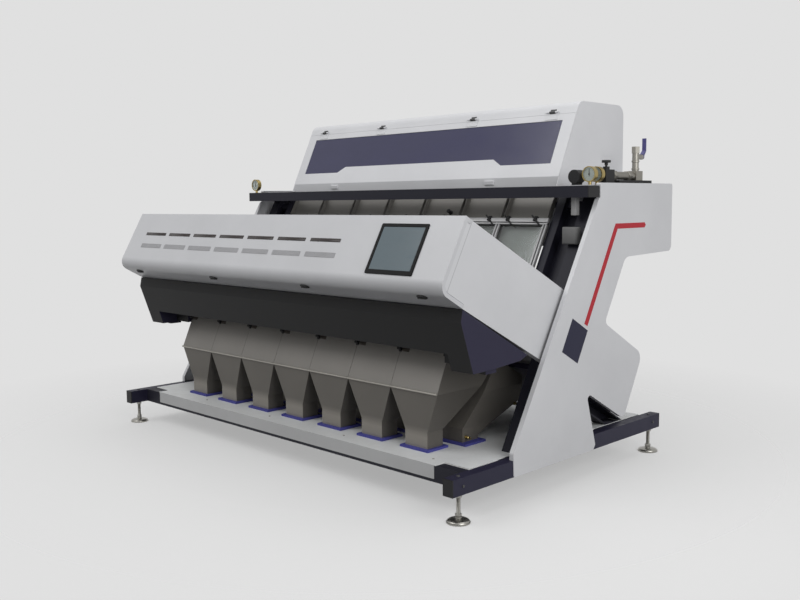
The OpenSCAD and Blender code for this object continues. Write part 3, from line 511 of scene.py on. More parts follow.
WHITE = (0.66, 0.665, 0.685)
# The lid's white is a darker copy of the hood's white: painted shade on the lid face.
LID_SHADED_WHITE = (0.6, 0.605, 0.625)
NAVY = (0.024, 0.022, 0.046)
BEAM_NAVY = (0.015, 0.014, 0.035)
CHARCOAL = (0.011, 0.011, 0.0115)
ARM_SEAM = 0.049
finishes = {
    "white": coated("white_coat", WHITE, 0.38, dust=0.12, worn=(0.46, 0.46, 0.47)),
    "lid": coated("lid_coat_painted_shade", LID_SHADED_WHITE, 0.36, dust=0.08, worn=(0.44, 0.44, 0.45)),
    "arm": coated("arm_coat", WHITE, 0.38, dust=0.12, worn=(0.46, 0.46, 0.47), seam=ARM_SEAM),
    # The second colour, on the faces that look along Y, is painted shade on the tray's lips.
    "tray": coated("tray_coat_shaded_lips", (0.76, 0.775, 0.78), 0.42, dust=0.15, second=(0.56, 0.565, 0.57), axis="Y"),
    "beam": coated("beam_coat", BEAM_NAVY, 0.42, dust=0.02, worn=(0.06, 0.06, 0.09), shine=0.25),
    "navy": coated("navy_coat", NAVY, 0.42, dust=0.03, worn=(0.08, 0.08, 0.11), shine=0.25),
    # The frames are navy paint darkened to near black: painted shade of the machine's dark inside.
    "frame": coated("frame_coat_painted_shade", (0.015, 0.015, 0.024), 0.48, dust=0.02, worn=(0.05, 0.05, 0.06),
                    shine=0.22),
    "charcoal": coated("charcoal_coat", CHARCOAL, 0.58, dust=0.06, worn=(0.04, 0.04, 0.045), second=NAVY,
                       shine=0.22),
    "bezel": moulded("bezel_plastic", (0.007, 0.007, 0.0075), 0.6, shine=0.15),
    "black": moulded("black_plastic", (0.012, 0.012, 0.013), 0.52, shine=0.3),
    "tab": moulded("brown_tab", (0.045, 0.036, 0.028), 0.5),
    "mat": moulded("blue_rubber", (0.064, 0.066, 0.29), 0.62, 500.0, 0.3, 0.3),
    "window": clear("violet_acrylic", (0.05, 0.05, 0.112), 0.12, 0.14, 0.4),
    "steel": metal("sheet_steel", (0.55, 0.55, 0.54), 0.34),
    "zinc": metal("zinc_plate", (0.42, 0.41, 0.38), 0.28, 0.3, 0.05),
    "dark_zinc": metal("dark_zinc", (0.07, 0.07, 0.072), 0.42, 0.3, 0.05, 0.05, 0.5),
    # The foot is painted light on the forward faces of the spouts.
    "funnel": metal("funnel_steel", (0.15, 0.14, 0.125), 0.52, 0.18, 0.16, 0.16, 0.4, foot=(0.312, 1.75)),
    "rear_funnel": metal("rear_funnel_steel", (0.165, 0.153, 0.136), 0.52, 0.18, 0.16, 0.16, 0.4),
    "door": metal("door_steel", (0.24, 0.228, 0.211), 0.48, 0.16, 0.16, 0.16, 0.4),
    # Hinge steel paler than the funnels: partly the steel's own colour, partly painted highlight along the
    # ridge.
    "ridge": metal("hinge_steel_painted_highlight", (0.42, 0.4, 0.36), 0.36, 0.2, 0.08, 0.1, 0.6),
    "alu": metal("chute_aluminium", (0.21, 0.203, 0.19), 0.44, 0.16, 0.1, 0.2, 0.6, ribs=200.0),
    "bar_alu": metal("cast_aluminium", (0.42, 0.42, 0.41), 0.4, 0.2, 0.1),
    "frame_alu": metal("profile_aluminium", (0.34, 0.34, 0.345), 0.42, 0.15, 0.08, 0.1, 0.4),
    "glass": clear("clear_glass", (0.88, 0.94, 0.94), 1.0, 0.02),
    "drive": moulded("drive_plastic", (0.05, 0.05, 0.055), 0.5),
    "brass": metal("brass_rim", (0.46, 0.36, 0.15), 0.32, 0.35, 0.05),
    "valve": metal("cast_valve", (0.36, 0.345, 0.31), 0.42, 0.5, 0.05),
    "lever": coated("lever_dip", (0.06, 0.055, 0.2), 0.35, dust=0.05),
    "screen": clear("screen_glass", (0.12, 0.16, 0.182), 0.0, 0.1),
    "display": clear("display_strip", (0.03, 0.022, 0.021), 0.0, 0.22, 0.25),
    "vent": coated("vent_coat", (0.4, 0.4, 0.415), 0.5, dust=0.05),
    "box_grey": moulded("box_plastic", (0.17, 0.17, 0.17), 0.5),
    "trunk_grey": moulded("trunk_plastic", (0.42, 0.42, 0.42), 0.5),
    "dial": moulded("dial_face", (0.78, 0.77, 0.72), 0.45),
}


FILM_BLUE, FILM_RED = (0.013, 0.013, 0.0375), (0.46, 0.02, 0.033)
FILM_JOIN = 0.079


def film_finish():
    """Vinyl film: blue below a line across the slope and red above it, with a fine grain and cloudy tone."""
    made, tree, shader, vector = new_finish("panel_film", Specular_IOR_Level=0.25)
    skin = use_group(tree, COAT, vector, Peel_Scale=700.0)
    join = float(np.dot(slanted(0, FILM_JOIN, 0), UP_SLOPE))
    upper = math_of(tree, "GREATER_THAN", along(tree, vector, UP_SLOPE), join)
    colour = tint(tree, upper, FILM_BLUE, FILM_RED)
    cloud = spread(tree, skin.outputs["Tone"], 0.3, 0.7, 0.0, 0.2)
    shade = tint(tree, cloud, colour, (0.6, 0.6, 0.6), "MULTIPLY")
    surface(tree, shader, shade, 0.45, skin.outputs["Height"], 0.05)
    return made


finishes["film"] = film_finish()

NODE_FINISH = {
    "white": ["side_panel_left", "side_panel_right", "feeder_deck", "hood_shell", "hood_flap"],
    "arm": ["console_body"],
    "lid": ["console_lid"],
    "tray": ["base_tray"],
    "beam": ["base_beam_left", "base_beam_right"],
    "navy": ["rear_camera_box"],
    "frame": ["cross_beams", "side_frame_left", "side_frame_right", "cross_members"],
    "charcoal": ["front_camera_box"],
    "black": ["beam_end_caps", "rail_clips", "lid_slots", "air_regulator", "regulator_knob",
              "door_fittings"] + [f"lid_latch_{i}" for i in range(1, LATCHES + 1)]
             + [f"gauge_needle_{i}" for i in range(1, 4)],
    "mat": ["outlet_mats"],
    "zinc": FEET,
    "dark_zinc": ["hood_hinges"],
    "film": ["side_trim"],
    "window": ["hood_window"],
    "steel": ["inlet_hopper", "feeder_trays"],
    "drive": ["feeder_drives"],
    "alu": ["chutes"],
    "bar_alu": ["ejector_bar", "front_optics", "rear_optics"],
    "frame_alu": ["glass_frame"],
    "glass": ["glass_panes", "camera_windows"],
    "funnel": ["front_funnels"],
    "rear_funnel": ["rear_funnels"],
    "door": [f"sample_door_{i}" for i in range(1, CHANNELS + 1)],
    "screen": ["lid_screen"],
    "valve": ["air_valve"],
    "brass": ["air_gauges"],
    "lever": ["valve_lever"],
}
for key, names in NODE_FINISH.items():
    for name in names:
        mesh = frame["nodes"][name].data
        mesh.materials.clear()
        mesh.materials.append(finishes[key])


# Console screen, display strips and vents

SCREEN_HALF_HEIGHT = 0.1325
SCREEN_A = -0.014
SCREEN_SHIFT = 0.009
SCREEN_TRIM = 0.003
BEZEL_SIDE, BEZEL_END, BEZEL_PROUD = 0.019, 0.02, 0.006
PANE_GAP = 0.0006


def on_console(layers, x, a):
    """Stacked outlines on the console face."""
    return stacked(layers, on_face(x, a), CONSOLE_BASIS)


def add_screen():
    """Screen: a bezel of stacked outlines that steps down to its pane, and the pane as a thin slab in it."""
    low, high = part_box("lid_screen")
    x = (low.x + high.x) / 2 + SCREEN_SHIFT
    half_w, half_h = (high.x - low.x) / 2 - SCREEN_TRIM, SCREEN_HALF_HEIGHT
    rim_w, rim_h, drop = half_w - BEZEL_SIDE, half_h - BEZEL_END, (0.0, 0.002)
    bezel = [
        (half_w, half_h, 0.006, 0.0001), (half_w, half_h, 0.006, 0.0042),
        (half_w - 0.0018, half_h - 0.0018, 0.005, BEZEL_PROUD),
        (rim_w + 0.002, rim_h + 0.002, 0.003, BEZEL_PROUD, drop),
        (rim_w, rim_h, 0.002, 0.004, drop), (rim_w, rim_h, 0.002, 0.0028, drop)]
    add_piece("screen_bezel", on_console(bezel, x, SCREEN_A), "bezel", LID, ["lid_screen"])
    pane_w, pane_h = rim_w - PANE_GAP, rim_h - PANE_GAP
    pane = [(pane_w, pane_h, 0.002, level, drop) for level in (0.0029, 0.0036)]
    add_piece("screen_pane", on_console(pane, x, SCREEN_A), "screen", LID)


STRIP_A, VENT_A = 0.02, -0.063
SLOT_FIRST, SLOT_STEP, SLOT_HALF = 0.332, 0.276, 0.118
FINS, FIN_STEP = 4, 0.0062


def add_slots():
    """Display strips as low bevelled bars, and vents as a framed tray of long fins."""
    inner = SLOT_HALF - 0.0012
    strip = [(SLOT_HALF, 0.01, 0.003, 0.0001), (SLOT_HALF, 0.01, 0.003, 0.0008),
             (SLOT_HALF - 0.0008, 0.0092, 0.0025, 0.0013)]
    tray = [(SLOT_HALF, 0.014, 0.003, 0.0001), (SLOT_HALF, 0.014, 0.003, 0.0011),
            (inner, 0.0128, 0.002, 0.0011), (inner, 0.0128, 0.002, 0.0004)]
    strips, trays, fins = [], [], []
    for i in range(CHANNELS):
        x = -HALF_WIDTH + SLOT_FIRST + i * SLOT_STEP
        strips.append(on_console(strip, x, STRIP_A))
        trays.append(on_console(tray, x, VENT_A))
        for k in range(FINS):
            fin = on_face(x, VENT_A + (k - (FINS - 1) / 2) * FIN_STEP, 0.0008)
            fins.append(rounded_box(fin, (SLOT_HALF - 0.0014, 0.002, 0.0006), 0.0005, CONSOLE_BASIS, 1))
    add_piece("display_strips", strips, "display", LID, ["lid_slots"])
    add_piece("vent_trays", trays, "vent", LID)
    add_piece("vent_fins", fins, "vent", LID)


STEM_INSET = 0.019


def add_latches():
    """Latches: an oval paddle with a grip rib under the lid, and the stem and cam behind it."""
    under = np.stack([ACROSS, OFF_FACE, -UP_SLOPE])
    for i in range(1, LATCHES + 1):
        name = f"lid_latch_{i}"
        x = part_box(name)[0].x + STEM_INSET
        spot = slanted(x, CONSOLE_LOW - 0.0003, LATCH_B)
        paddle = stacked([(0.03, 0.017, 0.0165, 0.0), (0.03, 0.017, 0.0165, 0.0045),
                          (0.0275, 0.0145, 0.014, 0.0065)], spot, under)
        rib = rounded_box(spot - UP_SLOPE * 0.0085, (0.024, 0.004, 0.0035), 0.002, under)
        stem = placed(lathe([(0.008, 0.0), (0.008, 0.0223)], 24), spot, UP_SLOPE)
        cam = slope_box(x - 0.012, x + 0.046, CONSOLE_LOW + 0.013, CONSOLE_LOW + 0.02,
                        LATCH_B - 0.009, LATCH_B + 0.009, 0.0015)
        latch = [paddle, rib, stem, cam]
        add_piece(f"latch_paddle_{i}", latch, "black", name, [name])


CORNER_INSET, CORNER_SHEET = 0.0005, 0.0018


def add_lid_corners():
    """A plate that closes each upper end of the lid, just inside its end flange."""
    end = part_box(LID)[1].x - CORNER_INSET
    plates = [slope_box(side * (end - CORNER_SHEET), side * end, CONSOLE_TOP - 0.0215, CONSOLE_TOP - 0.0006,
                        FACE_B + 0.0006, FACE_B + 0.042, 0.0006) for side in (-1, 1)]
    add_piece("lid_corners", plates, "lid", LID)


# Camera housing under the console

HOUSING_HALF, HOUSING_CUT = 1.414, 1.28
HOUSING_FRONT_B, HOUSING_REAR_B = -0.735, -0.19
HOUSING_CREASE, HOUSING_CORNER = np.array([-0.829, 0.911]), np.array([-0.744, 0.664])
HOUSING_ROOF = [(-0.59, 0.74), (-0.42, 0.694)]
HOUSING_BOTTOM = [(-0.6, 0.668), (-0.396, 0.682)]
CUT_LEVEL = 0.747
BLOCK_FRONT = -0.64
TAB_X, TAB_HALF = 1.38, 0.02
EYE_LOW, EYE_HIGH, EYE_BACK, EYE_FRONT = -0.215, 0.14, -0.54, -0.11
GROOVE_HALF, GROOVE_DEPTH = 0.07, 0.016


def add_camera_housing():
    """Housing: an outline carried along X. Between its two deep ends the front is cut up over the doors,
    and set-back blocks close it beside the door row. The camera box with its groove stands on it."""
    roof_a = CONSOLE_LOW - 0.003
    top_front, top_rear = (slanted(0, roof_a, b)[1:] for b in (HOUSING_FRONT_B, HOUSING_REAR_B))
    crease, corner = HOUSING_CREASE, HOUSING_CORNER
    cut = crease + (corner - crease) * (crease[1] - CUT_LEVEL) / (crease[1] - corner[1])
    sunk = EYE_FRONT - GROOVE_DEPTH
    eye = [(EYE_LOW, EYE_BACK), (EYE_LOW, HOUSING_REAR_B), (EYE_LOW + 0.015, EYE_FRONT),
           (-GROOVE_HALF, EYE_FRONT), (-GROOVE_HALF, sunk), (GROOVE_HALF, sunk), (GROOVE_HALF, EYE_FRONT),
           (EYE_HIGH, EYE_FRONT), (EYE_HIGH, EYE_BACK)]
    eye_half = DOOR_ROW + 0.0225
    parts = [prism([top_front, crease, cut, *HOUSING_ROOF, top_rear], -HOUSING_CUT, HOUSING_CUT, YZ_BASIS),
             prism([slanted(0, a, b)[1:] for a, b in eye], -eye_half, eye_half, YZ_BASIS)]
    block = [(BLOCK_FRONT, 0.743), (BLOCK_FRONT, 0.673), HOUSING_BOTTOM[1], *HOUSING_ROOF[::-1]]
    for side in (-1, 1):
        deep = sorted((side * HOUSING_CUT, side * HOUSING_HALF))
        parts.append(prism([top_front, crease, corner, *HOUSING_BOTTOM, top_rear], *deep, YZ_BASIS))
        inner = sorted((side * (DOOR_ROW + 0.005), side * HOUSING_CUT))
        parts.append(prism(block, *inner, YZ_BASIS))
        tab = side * TAB_X
        parts.append(level_box((tab - TAB_HALF, BLOCK_FRONT, 0.645), (tab + TAB_HALF, -0.56, 0.69), 0.002))
    add_piece("camera_housing", parts, "charcoal", FIXED, ["front_camera_box"], 25)


# Feet, bolts and screws

def hexagon(low, high, reach, worn, edge):
    """A nut about Z between two levels: six sides, its corners worn to a share over the edge's height."""
    return lathe([(reach * worn, low), (reach, low + edge), (reach, high - edge), (reach * worn, high)], 6)


def foot_shape():
    """Foot: a rubber-edged domed pad, a neck and a thread of rings, turned about Z, with two hexagon nuts."""
    dome = np.linspace(0, math.pi / 2, 8)
    pad = [(0.05, 0.0), (0.056, 0.0015), (0.056, 0.0075), (0.0545, 0.0085)]
    pad += [(0.02 + 0.0335 * math.cos(t), 0.0088 + 0.0125 * math.sin(t)) for t in dome]
    pad += [(0.0155, 0.0235), (0.015, 0.029), (0.011, 0.03)]
    steps = np.arange(0.031, 0.165, 0.00125)
    thread = np.stack([np.where(np.arange(len(steps)) % 2 == 0, 0.01, 0.009), steps], -1)
    body = lathe(np.concatenate([pad, thread, [(0.0085, 0.166)]]), 32)
    nuts = [hexagon(low, high, reach, 0.93, 0.0015)
            for low, high, reach in ((0.03, 0.044, 0.016), (0.1197, 0.1356, 0.017))]
    return joined([body] + nuts)


def add_feet():
    """A turned foot in place of each solid one."""
    shape = foot_shape()
    for name in FEET:
        low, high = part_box(name)
        place = ((low.x + high.x) / 2, (low.y + high.y) / 2, 0.0)
        add_piece(name + "_turned", placed(shape, place, (0, 0, 1)), "zinc", name, [name], 40)


def screw_shape(radius, height):
    """Dome head screw: a quarter round turned about Z, with a six-sided socket sunk in the top."""
    turn = np.linspace(0, math.pi / 2, 5)
    dome = [(radius * (0.55 + 0.45 * math.cos(t)), height * (0.25 + 0.75 * math.sin(t))) for t in turn]
    return joined([lathe([(radius, -0.0005)] + dome, 20),
                   lathe([(radius * 0.42, height * 0.9), (radius * 0.42, height * 1.02),
                          (radius * 0.34, height * 0.6)], 6)])


BOLT_INSET = 0.067
BEAM_HALF_WIDTH, FLANK_BOLT_Z = 0.03, 0.176
TRAY_SCREW_Y = -0.742
SKIRT_SCREW_X, SKIRT_SCREW_Z = np.linspace(-1.36, 1.36, 9), (1.185, 1.5)


def add_screws():
    """Screws on the base beams over the feet, along the tray and on the rear skirt."""
    low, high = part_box("base_beam_right")
    mid, top = (low.x + high.x) / 2, high.z
    ends = (low.y + BOLT_INSET, high.y - BOLT_INSET)
    beam = [(side * mid, y, top) for side in (-1, 1) for y in ends]
    add_piece("beam_bolts", placed(screw_shape(0.0085, 0.0055), beam, (0, 0, 1)), "dark_zinc")
    for side, name in ((1, "beam_bolts_right"), (-1, "beam_bolts_left")):
        flank = [(side * (mid + BEAM_HALF_WIDTH), y, FLANK_BOLT_Z) for y in ends]
        add_piece(name, placed(screw_shape(0.0075, 0.005), flank, (side, 0, 0)), "dark_zinc")
    tray = [(edge_x(i) + 0.022, TRAY_SCREW_Y, TRAY_TOP) for i in range(1, CHANNELS + 1, 2)]
    add_piece("tray_screws", placed(screw_shape(0.0055, 0.003), tray, (0, 0, 1)), "zinc")
    rear = [(x, SKIRT_BACK, z) for x in SKIRT_SCREW_X for z in SKIRT_SCREW_Z]
    add_piece("skirt_screws", placed(screw_shape(0.006, 0.0035), rear, (0, 1, 0)), "zinc")


# Glass frame in front of the chutes

PROFILE_LOW, PROFILE_BACK = 0.14, -0.0292


def add_glass_frame():
    """Frame profiles: each upright is two bars with a dark groove between, the top rail a bar over a lip."""
    bars, grooves = [], []
    top, back = RAIL_A + 0.012, PROFILE_BACK
    for i in range(CHANNELS + 1):
        x = edge_x(i)
        for d in (-1, 1):
            bars.append(slope_box(x + d * 0.0035, x + d * 0.015, PROFILE_LOW, top, -0.043, back, 0.0015))
        grooves.append(slope_box(x - 0.0036, x + 0.0036, PROFILE_LOW, top, -0.034, back, 0.0008))
    end = edge_x(CHANNELS) + 0.015
    bars += [slope_box(-end, end, RAIL_A + 0.014, RAIL_A + 0.04, -0.045, back, 0.002),
             slope_box(-end, end, RAIL_A, RAIL_A + 0.009, -0.045, back, 0.0015),
             slope_box(-end, end, 0.13, 0.152, -0.043, back, 0.002)]
    grooves.append(slope_box(-end, end, RAIL_A + 0.008, RAIL_A + 0.015, -0.037, back, 0.0008))
    add_piece("glass_profiles", bars, "frame_alu", FIXED, ["glass_frame"])
    add_piece("profile_grooves", grooves, "black")


HOOK_BEND = [(-0.042, 0.06, -0.034), (-0.031, 0.052, -0.046), (-0.01, 0.036, -0.0535),
             (0.014, 0.016, -0.0545), (0.038, -0.006, -0.05)]
HOOK_SIDE, HOOK_RADIUS = 0.095, 0.0048


def add_clip_hooks():
    """Hooks over the top rail, two to a chute: a round bar bent over the rail and slanting down across it."""
    spots = [channel_x(i) + d for i in range(CHANNELS) for d in (-HOOK_SIDE, HOOK_SIDE)]
    bends = [[slanted(x + dx, RAIL_A + da, b) for dx, da, b in HOOK_BEND] for x in spots]
    hooks = [tube(bend, HOOK_RADIUS, 10) for bend in bends]
    add_piece("clip_hooks", hooks, "black")


def add_chute_sensor():
    """A small turned sensor on one chute above the glass, with a ring and a lens end."""
    shape = lathe([(0.014, 0.0), (0.014, 0.004), (0.011, 0.005), (0.011, 0.022), (0.013, 0.023),
                   (0.013, 0.028), (0.01, 0.03)], 24)
    spot = slanted(channel_x(4) + 0.062, 0.665, 0.0)
    add_piece("chute_sensor", placed(shape, spot, OFF_FACE), "black")


# Sample doors

RIDGE = np.array([0.0, -0.686, 0.518])
DOOR_TOP = np.array([0.0, -0.624, 0.662])
DOOR_UP = (DOOR_TOP - RIDGE) / np.linalg.norm(DOOR_TOP - RIDGE)
DOOR_OUT = np.array([0.0, -DOOR_UP[2], DOOR_UP[1]])
DOOR_BASIS = np.stack([ACROSS, DOOR_UP, DOOR_OUT])


def on_door(x, up, out):
    """A point on the sample doors: x along the row, up from the ridge, out from the door."""
    return np.array([x, 0.0, 0.0]) + RIDGE + DOOR_UP * up + DOOR_OUT * out


DOOR_LENGTH, DOOR_GAP, NOTCH_SIDE = 0.214, 0.001, 0.011
CATCH_UP = 0.2
BARREL_OUT, BARREL_RADIUS, ROD_RADIUS = 0.0064, 0.0054, 0.0023


def add_doors():
    """Doors: a sheet with its upper corners notched for the catches, a hinge barrel and a catch tab."""
    half, notched, notch = PITCH / 2 - DOOR_GAP, PITCH / 2 - NOTCH_SIDE, CATCH_UP - 0.016
    sheet = [(-half, 0.002), (half, 0.002), (half, notch), (notched, notch), (notched, DOOR_LENGTH),
             (-notched, DOOR_LENGTH), (-notched, notch), (-half, notch)]
    for i in range(CHANNELS):
        body = f"sample_door_{i + 1}"
        x = channel_x(i)
        barrel = tube([on_door(x + d, 0.0, BARREL_OUT) for d in (-half, 0.0, half)], BARREL_RADIUS, 20)
        add_piece(body + "_sleeve", barrel, "ridge", body)
        panel = prism(sheet, 0.0004, 0.0034, DOOR_BASIS, on_door(x, 0.0, 0.0))
        add_piece(body + "_sheet", panel, "door", body, [body])
        spot = on_door(x - notched + 0.028, CATCH_UP - 0.002, 0.0046)
        tab = rounded_box(spot, (0.024, 0.0105, 0.0013), 0.001, DOOR_BASIS, 2)
        add_piece(body + "_tab", tab, "tab", body)


END_CATCH_INSET = 0.0045


def add_door_catches():
    """A hinge rod along the ridge, and over each line between doors a block with a turned knob on it."""
    knob = lathe([(0.0105, 0.0), (0.0105, 0.003), (0.0075, 0.0045), (0.0075, 0.0075), (0.01, 0.0085),
                  (0.01, 0.013), (0.0085, 0.0145)], 20)
    rod = tube([on_door(x, 0.0, BARREL_OUT) for x in (-DOOR_ROW, 0.0, DOOR_ROW)], ROD_RADIUS, 16)
    reach = DOOR_ROW - END_CATCH_INSET
    spots = [min(max(edge_x(i), -reach), reach) for i in range(CHANNELS + 1)]
    blocks = [rounded_box(on_door(x, CATCH_UP, 0.0045), (0.0075, 0.013, 0.0045), 0.001, DOOR_BASIS, 2)
              for x in spots]
    add_piece("hinge_rod", rod, "ridge", FIXED, ["door_fittings"])
    knobs = placed(knob, [on_door(x, CATCH_UP, 0.009) for x in spots], DOOR_OUT)
    add_piece("catch_knobs", blocks + [knobs], "black")


CHEEK = [(-0.33, 0.646), (-0.33, 0.657), (-0.44, 0.692), (-0.593, 0.731), (-0.603, 0.709),
         (-0.624, 0.661)]
CHEEK_OUT, CHEEK_IN = DOOR_ROW - 0.0005, DOOR_ROW - 0.0035


def add_funnel_cheeks():
    """End plates that carry the outer funnels up to the housing, level with the doors."""
    plates = [prism(CHEEK, *sorted((side * CHEEK_OUT, side * CHEEK_IN)), YZ_BASIS) for side in (-1, 1)]
    add_piece("funnel_cheeks", plates, "funnel")


def add_outlet_fittings():
    """A brass cock on each rear spout: a hexagon, a neck and a nozzle turned about X."""
    shape = lathe([(0.01, -0.002), (0.01, 0.008), (0.0065, 0.009), (0.0065, 0.016), (0.0085, 0.017),
                   (0.0085, 0.021), (0.0055, 0.023), (0.0055, 0.034)], 6)
    low = [(channel_x(i) + 0.12, -0.432, 0.256) for i in range(CHANNELS)]
    add_piece("spout_cocks", placed(shape, low, (1, 0, 0)), "brass")
    high = [(channel_x(i) + 0.134, -0.052, 0.372) for i in (0, CHANNELS - 1)]
    add_piece("funnel_cocks", placed(shape, high, (1, 0, 0)), "brass")


# Air set

DIAL_RADIUS, LENS_RADIUS = 0.0355, 0.0362
TICKS, TICK_START, TICK_STEP, TICK_END = 28, -135, 10, 0.033
LENS_EDGE, LENS_RISE = 0.0006, 0.0012


def add_gauges():
    """Dials at the middle of each needle's hub, with tick bars on a circle and a thin domed lens."""
    faces, ticks, lenses = [], [], []
    rise = np.linspace(0, math.pi / 2, 6)[1:-1]
    dome = [(LENS_RADIUS * math.cos(t), LENS_EDGE + LENS_RISE * math.sin(t)) for t in rise]
    lens = lathe([(LENS_RADIUS, 0.0), (LENS_RADIUS, LENS_EDGE)] + dome + [(0.002, LENS_EDGE + LENS_RISE)], 40)
    dial = lathe([(DIAL_RADIUS, 0.0), (DIAL_RADIUS, 0.00012)], 40)
    for joint in frame["joints"]:
        if "gauge_needle" not in joint["name"]:
            continue
        place = np.array(joint["pos_m"], float)
        face = place + np.array([0, 0.001, 0])
        faces.append(placed(dial, face, (0, -1, 0)))
        for k in range(TICKS):
            turn = math.radians(TICK_START + TICK_STEP * k)
            reach = np.array([math.sin(turn), 0.0, math.cos(turn)])
            across = np.array([math.cos(turn), 0.0, -math.sin(turn)])
            length = 0.0035 if k % 3 == 0 else 0.002
            basis = np.stack([across, reach, np.cross(across, reach)])
            spot = face + reach * (TICK_END - length) + np.array([0, -0.00015, 0])
            ticks.append(rounded_box(spot, (0.0005, length, 0.00005), 0.00004, basis, 1))
        lenses.append(placed(lens, place + np.array([0, -0.0042, 0]), (0, -1, 0)))
    add_piece("gauge_dials", faces, "dial")
    add_piece("gauge_ticks", ticks, "black")
    add_piece("gauge_lenses", lenses, "glass")


PIPE_Z = DECK_TOP + 0.051
RISER_Y = 0.682
KNOB_Y, KNOB_Z, FLUTES = 0.387, DECK_TOP + 0.1183, 16


def add_air_fittings():
    """Hexagon unions on the pipe and the riser, and a fluted knob whose edge follows a cosine."""
    low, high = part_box("air_valve")
    x = (low.x + high.x) / 2
    union = hexagon(0.0, 0.03, 0.029, 0.9, 0.0025)
    unions = placed(union, [(x, y, PIPE_Z) for y in (0.44, 0.585)], (0, 1, 0))
    collar = lathe([(0.0185, 0), (0.0215, 0.002), (0.0215, 0.01), (0.0185, 0.012)], 32)
    collars = placed(collar, [(x, RISER_Y, DECK_TOP + z) for z in (0.084, 0.126)], (0, 0, 1))
    add_piece("air_unions", [unions, collars], "valve")
    turn = np.linspace(0, 2 * math.pi, 96, endpoint=False)
    levels = np.array([(0.0215, 0.0), (0.024, 0.0015), (0.024, 0.0115), (0.0225, 0.0138), (0.012, 0.014)])
    flute = 1 - 0.05 * np.clip(np.cos(FLUTES * turn), 0, 1)
    rings = []
    for radius, z in levels:
        edge = radius * np.where(radius > 0.02, flute, 1)
        rings.append(np.column_stack([edge * np.cos(turn), edge * np.sin(turn), np.full(len(turn), z)]))
    head = (np.concatenate(rings), ring_faces(len(rings), len(turn)))
    skirt = lathe([(0.007, -0.014), (0.009, -0.0135), (0.009, 0.0005)], 32)
    spot = np.array([x, KNOB_Y, KNOB_Z])
    knob = [(c + spot, f) for c, f in (head, skirt)]
    add_piece("knob_fluted", knob, "black", "regulator_knob", ["regulator_knob"])


# Fittings inside the right end and at the back

def add_end_fittings():
    """A cable trunk under the top beam and a box on the post, both with round edges."""
    trunk = [level_box((1.31, 0.17, 1.372), (1.338, 0.203, 1.466), 0.002),
             level_box((1.3085, 0.1685, 1.372), (1.3395, 0.175, 1.466), 0.001)]
    add_piece("cable_trunk", trunk, "trunk_grey")
    case = [level_box((1.292, 0.112, 1.222), (1.384, 0.152, 1.312), 0.004),
            level_box((1.296, 0.108, 1.226), (1.38, 0.113, 1.308), 0.002)]
    add_piece("post_box", case, "box_grey")


REAR_VENT_X, REAR_VENT_Z = 0.8, 1.34
REAR_FINS, REAR_FIN_STEP = 8, 0.0178


def add_rear_vents():
    """Vents on the rear skirt: a shallow framed tray with slanting fins in it."""
    basis = np.array([[-1.0, 0, 0], [0, 0, 1.0], [0, 1.0, 0]])
    tilt = np.array([[-1.0, 0, 0], [0, -0.5, 0.866], [0, 0.866, 0.5]])
    trays, fins = [], []
    for x in (-REAR_VENT_X, REAR_VENT_X):
        centre = np.array([x, SKIRT_BACK, REAR_VENT_Z])
        trays.append(stacked([(0.17, 0.085, 0.008, 0.0), (0.17, 0.085, 0.008, 0.003),
                              (0.167, 0.082, 0.006, 0.0038), (0.158, 0.073, 0.004, 0.0038),
                              (0.158, 0.073, 0.004, 0.0006)], centre, basis))
        for k in range(REAR_FINS):
            fin = centre + np.array([0, 0.0028, (k - (REAR_FINS - 1) / 2) * REAR_FIN_STEP])
            fins.append(rounded_box(fin, (0.1575, 0.0055, 0.0006), 0.0005, tilt, 1))
    add_piece("rear_vent_trays", trays, "white")
    add_piece("rear_vent_fins", fins, "vent")


INLET_HALF_X, INLET_HALF_Y, INLET_Y = 0.11, 0.075, 0.64


def add_inlet_rims():
    """A low rim round each feed inlet in the hood top: outlines stepped over its edge, in a ring."""
    rims = []
    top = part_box("hood_shell")[1].z
    steps = [(0.014, 0.006, 0.0001), (0.014, 0.006, 0.002), (0.0125, 0.006, 0.003), (0.0005, 0.002, 0.003),
             (-0.0005, 0.002, 0.0024), (-0.0005, 0.002, -0.01), (0.0, 0.002, -0.01), (0.0, 0.002, 0.0001)]
    loops = [(INLET_HALF_X + out, INLET_HALF_Y + out, radius, level) for out, radius, level in steps]
    for i in range(CHANNELS):
        points, faces = stacked(loops, (channel_x(i), INLET_Y, top))
        faces = faces[:-2]
        count = len(points) // len(loops)
        last = (len(loops) - 1) * count
        faces += [[last + c, last + (c + 1) % count, (c + 1) % count, c] for c in range(count)]
        rims.append((points, faces))
    add_piece("inlet_rims", rims, "steel")


add_screen()
add_slots()
add_latches()
add_lid_corners()
add_camera_housing()
add_feet()
add_screws()
add_glass_frame()
add_clip_hooks()
add_chute_sensor()
add_doors()
add_door_catches()
add_funnel_cheeks()
add_outlet_fittings()
add_gauges()
add_air_fittings()
add_end_fittings()
add_rear_vents()
add_inlet_rims()


# Camera, floor and light

FOCAL_PIXELS = 918.31
PICTURE_WIDTH = 800
YAW, DIP, ROLL = math.radians(45.106), math.radians(6.113), math.radians(-0.533)
CAMERA_PLACE = Vector((4.107, -3.895, 1.4517))


def add_camera():
    """Camera from yaw, dip and roll: ahead from yaw and dip, right square to it and turned by the roll."""
    data = bpy.data.cameras.new("camera")
    data.sensor_width = 36.0
    data.lens = FOCAL_PIXELS * data.sensor_width / PICTURE_WIDTH
    ahead = Vector((-math.sin(YAW) * math.cos(DIP), math.cos(YAW) * math.cos(DIP), -math.sin(DIP)))
    right = Vector((math.cos(YAW), math.sin(YAW), 0.0))
    up = right.cross(ahead)
    right_turned = right * math.cos(ROLL) + up * math.sin(ROLL)
    up_turned = right_turned.cross(ahead)
    made = new_object("camera", data)
    made.matrix_world = Matrix((right_turned, up_turned, -ahead)).transposed().to_4x4()
    made.location = CAMERA_PLACE
    bpy.context.scene.camera = made


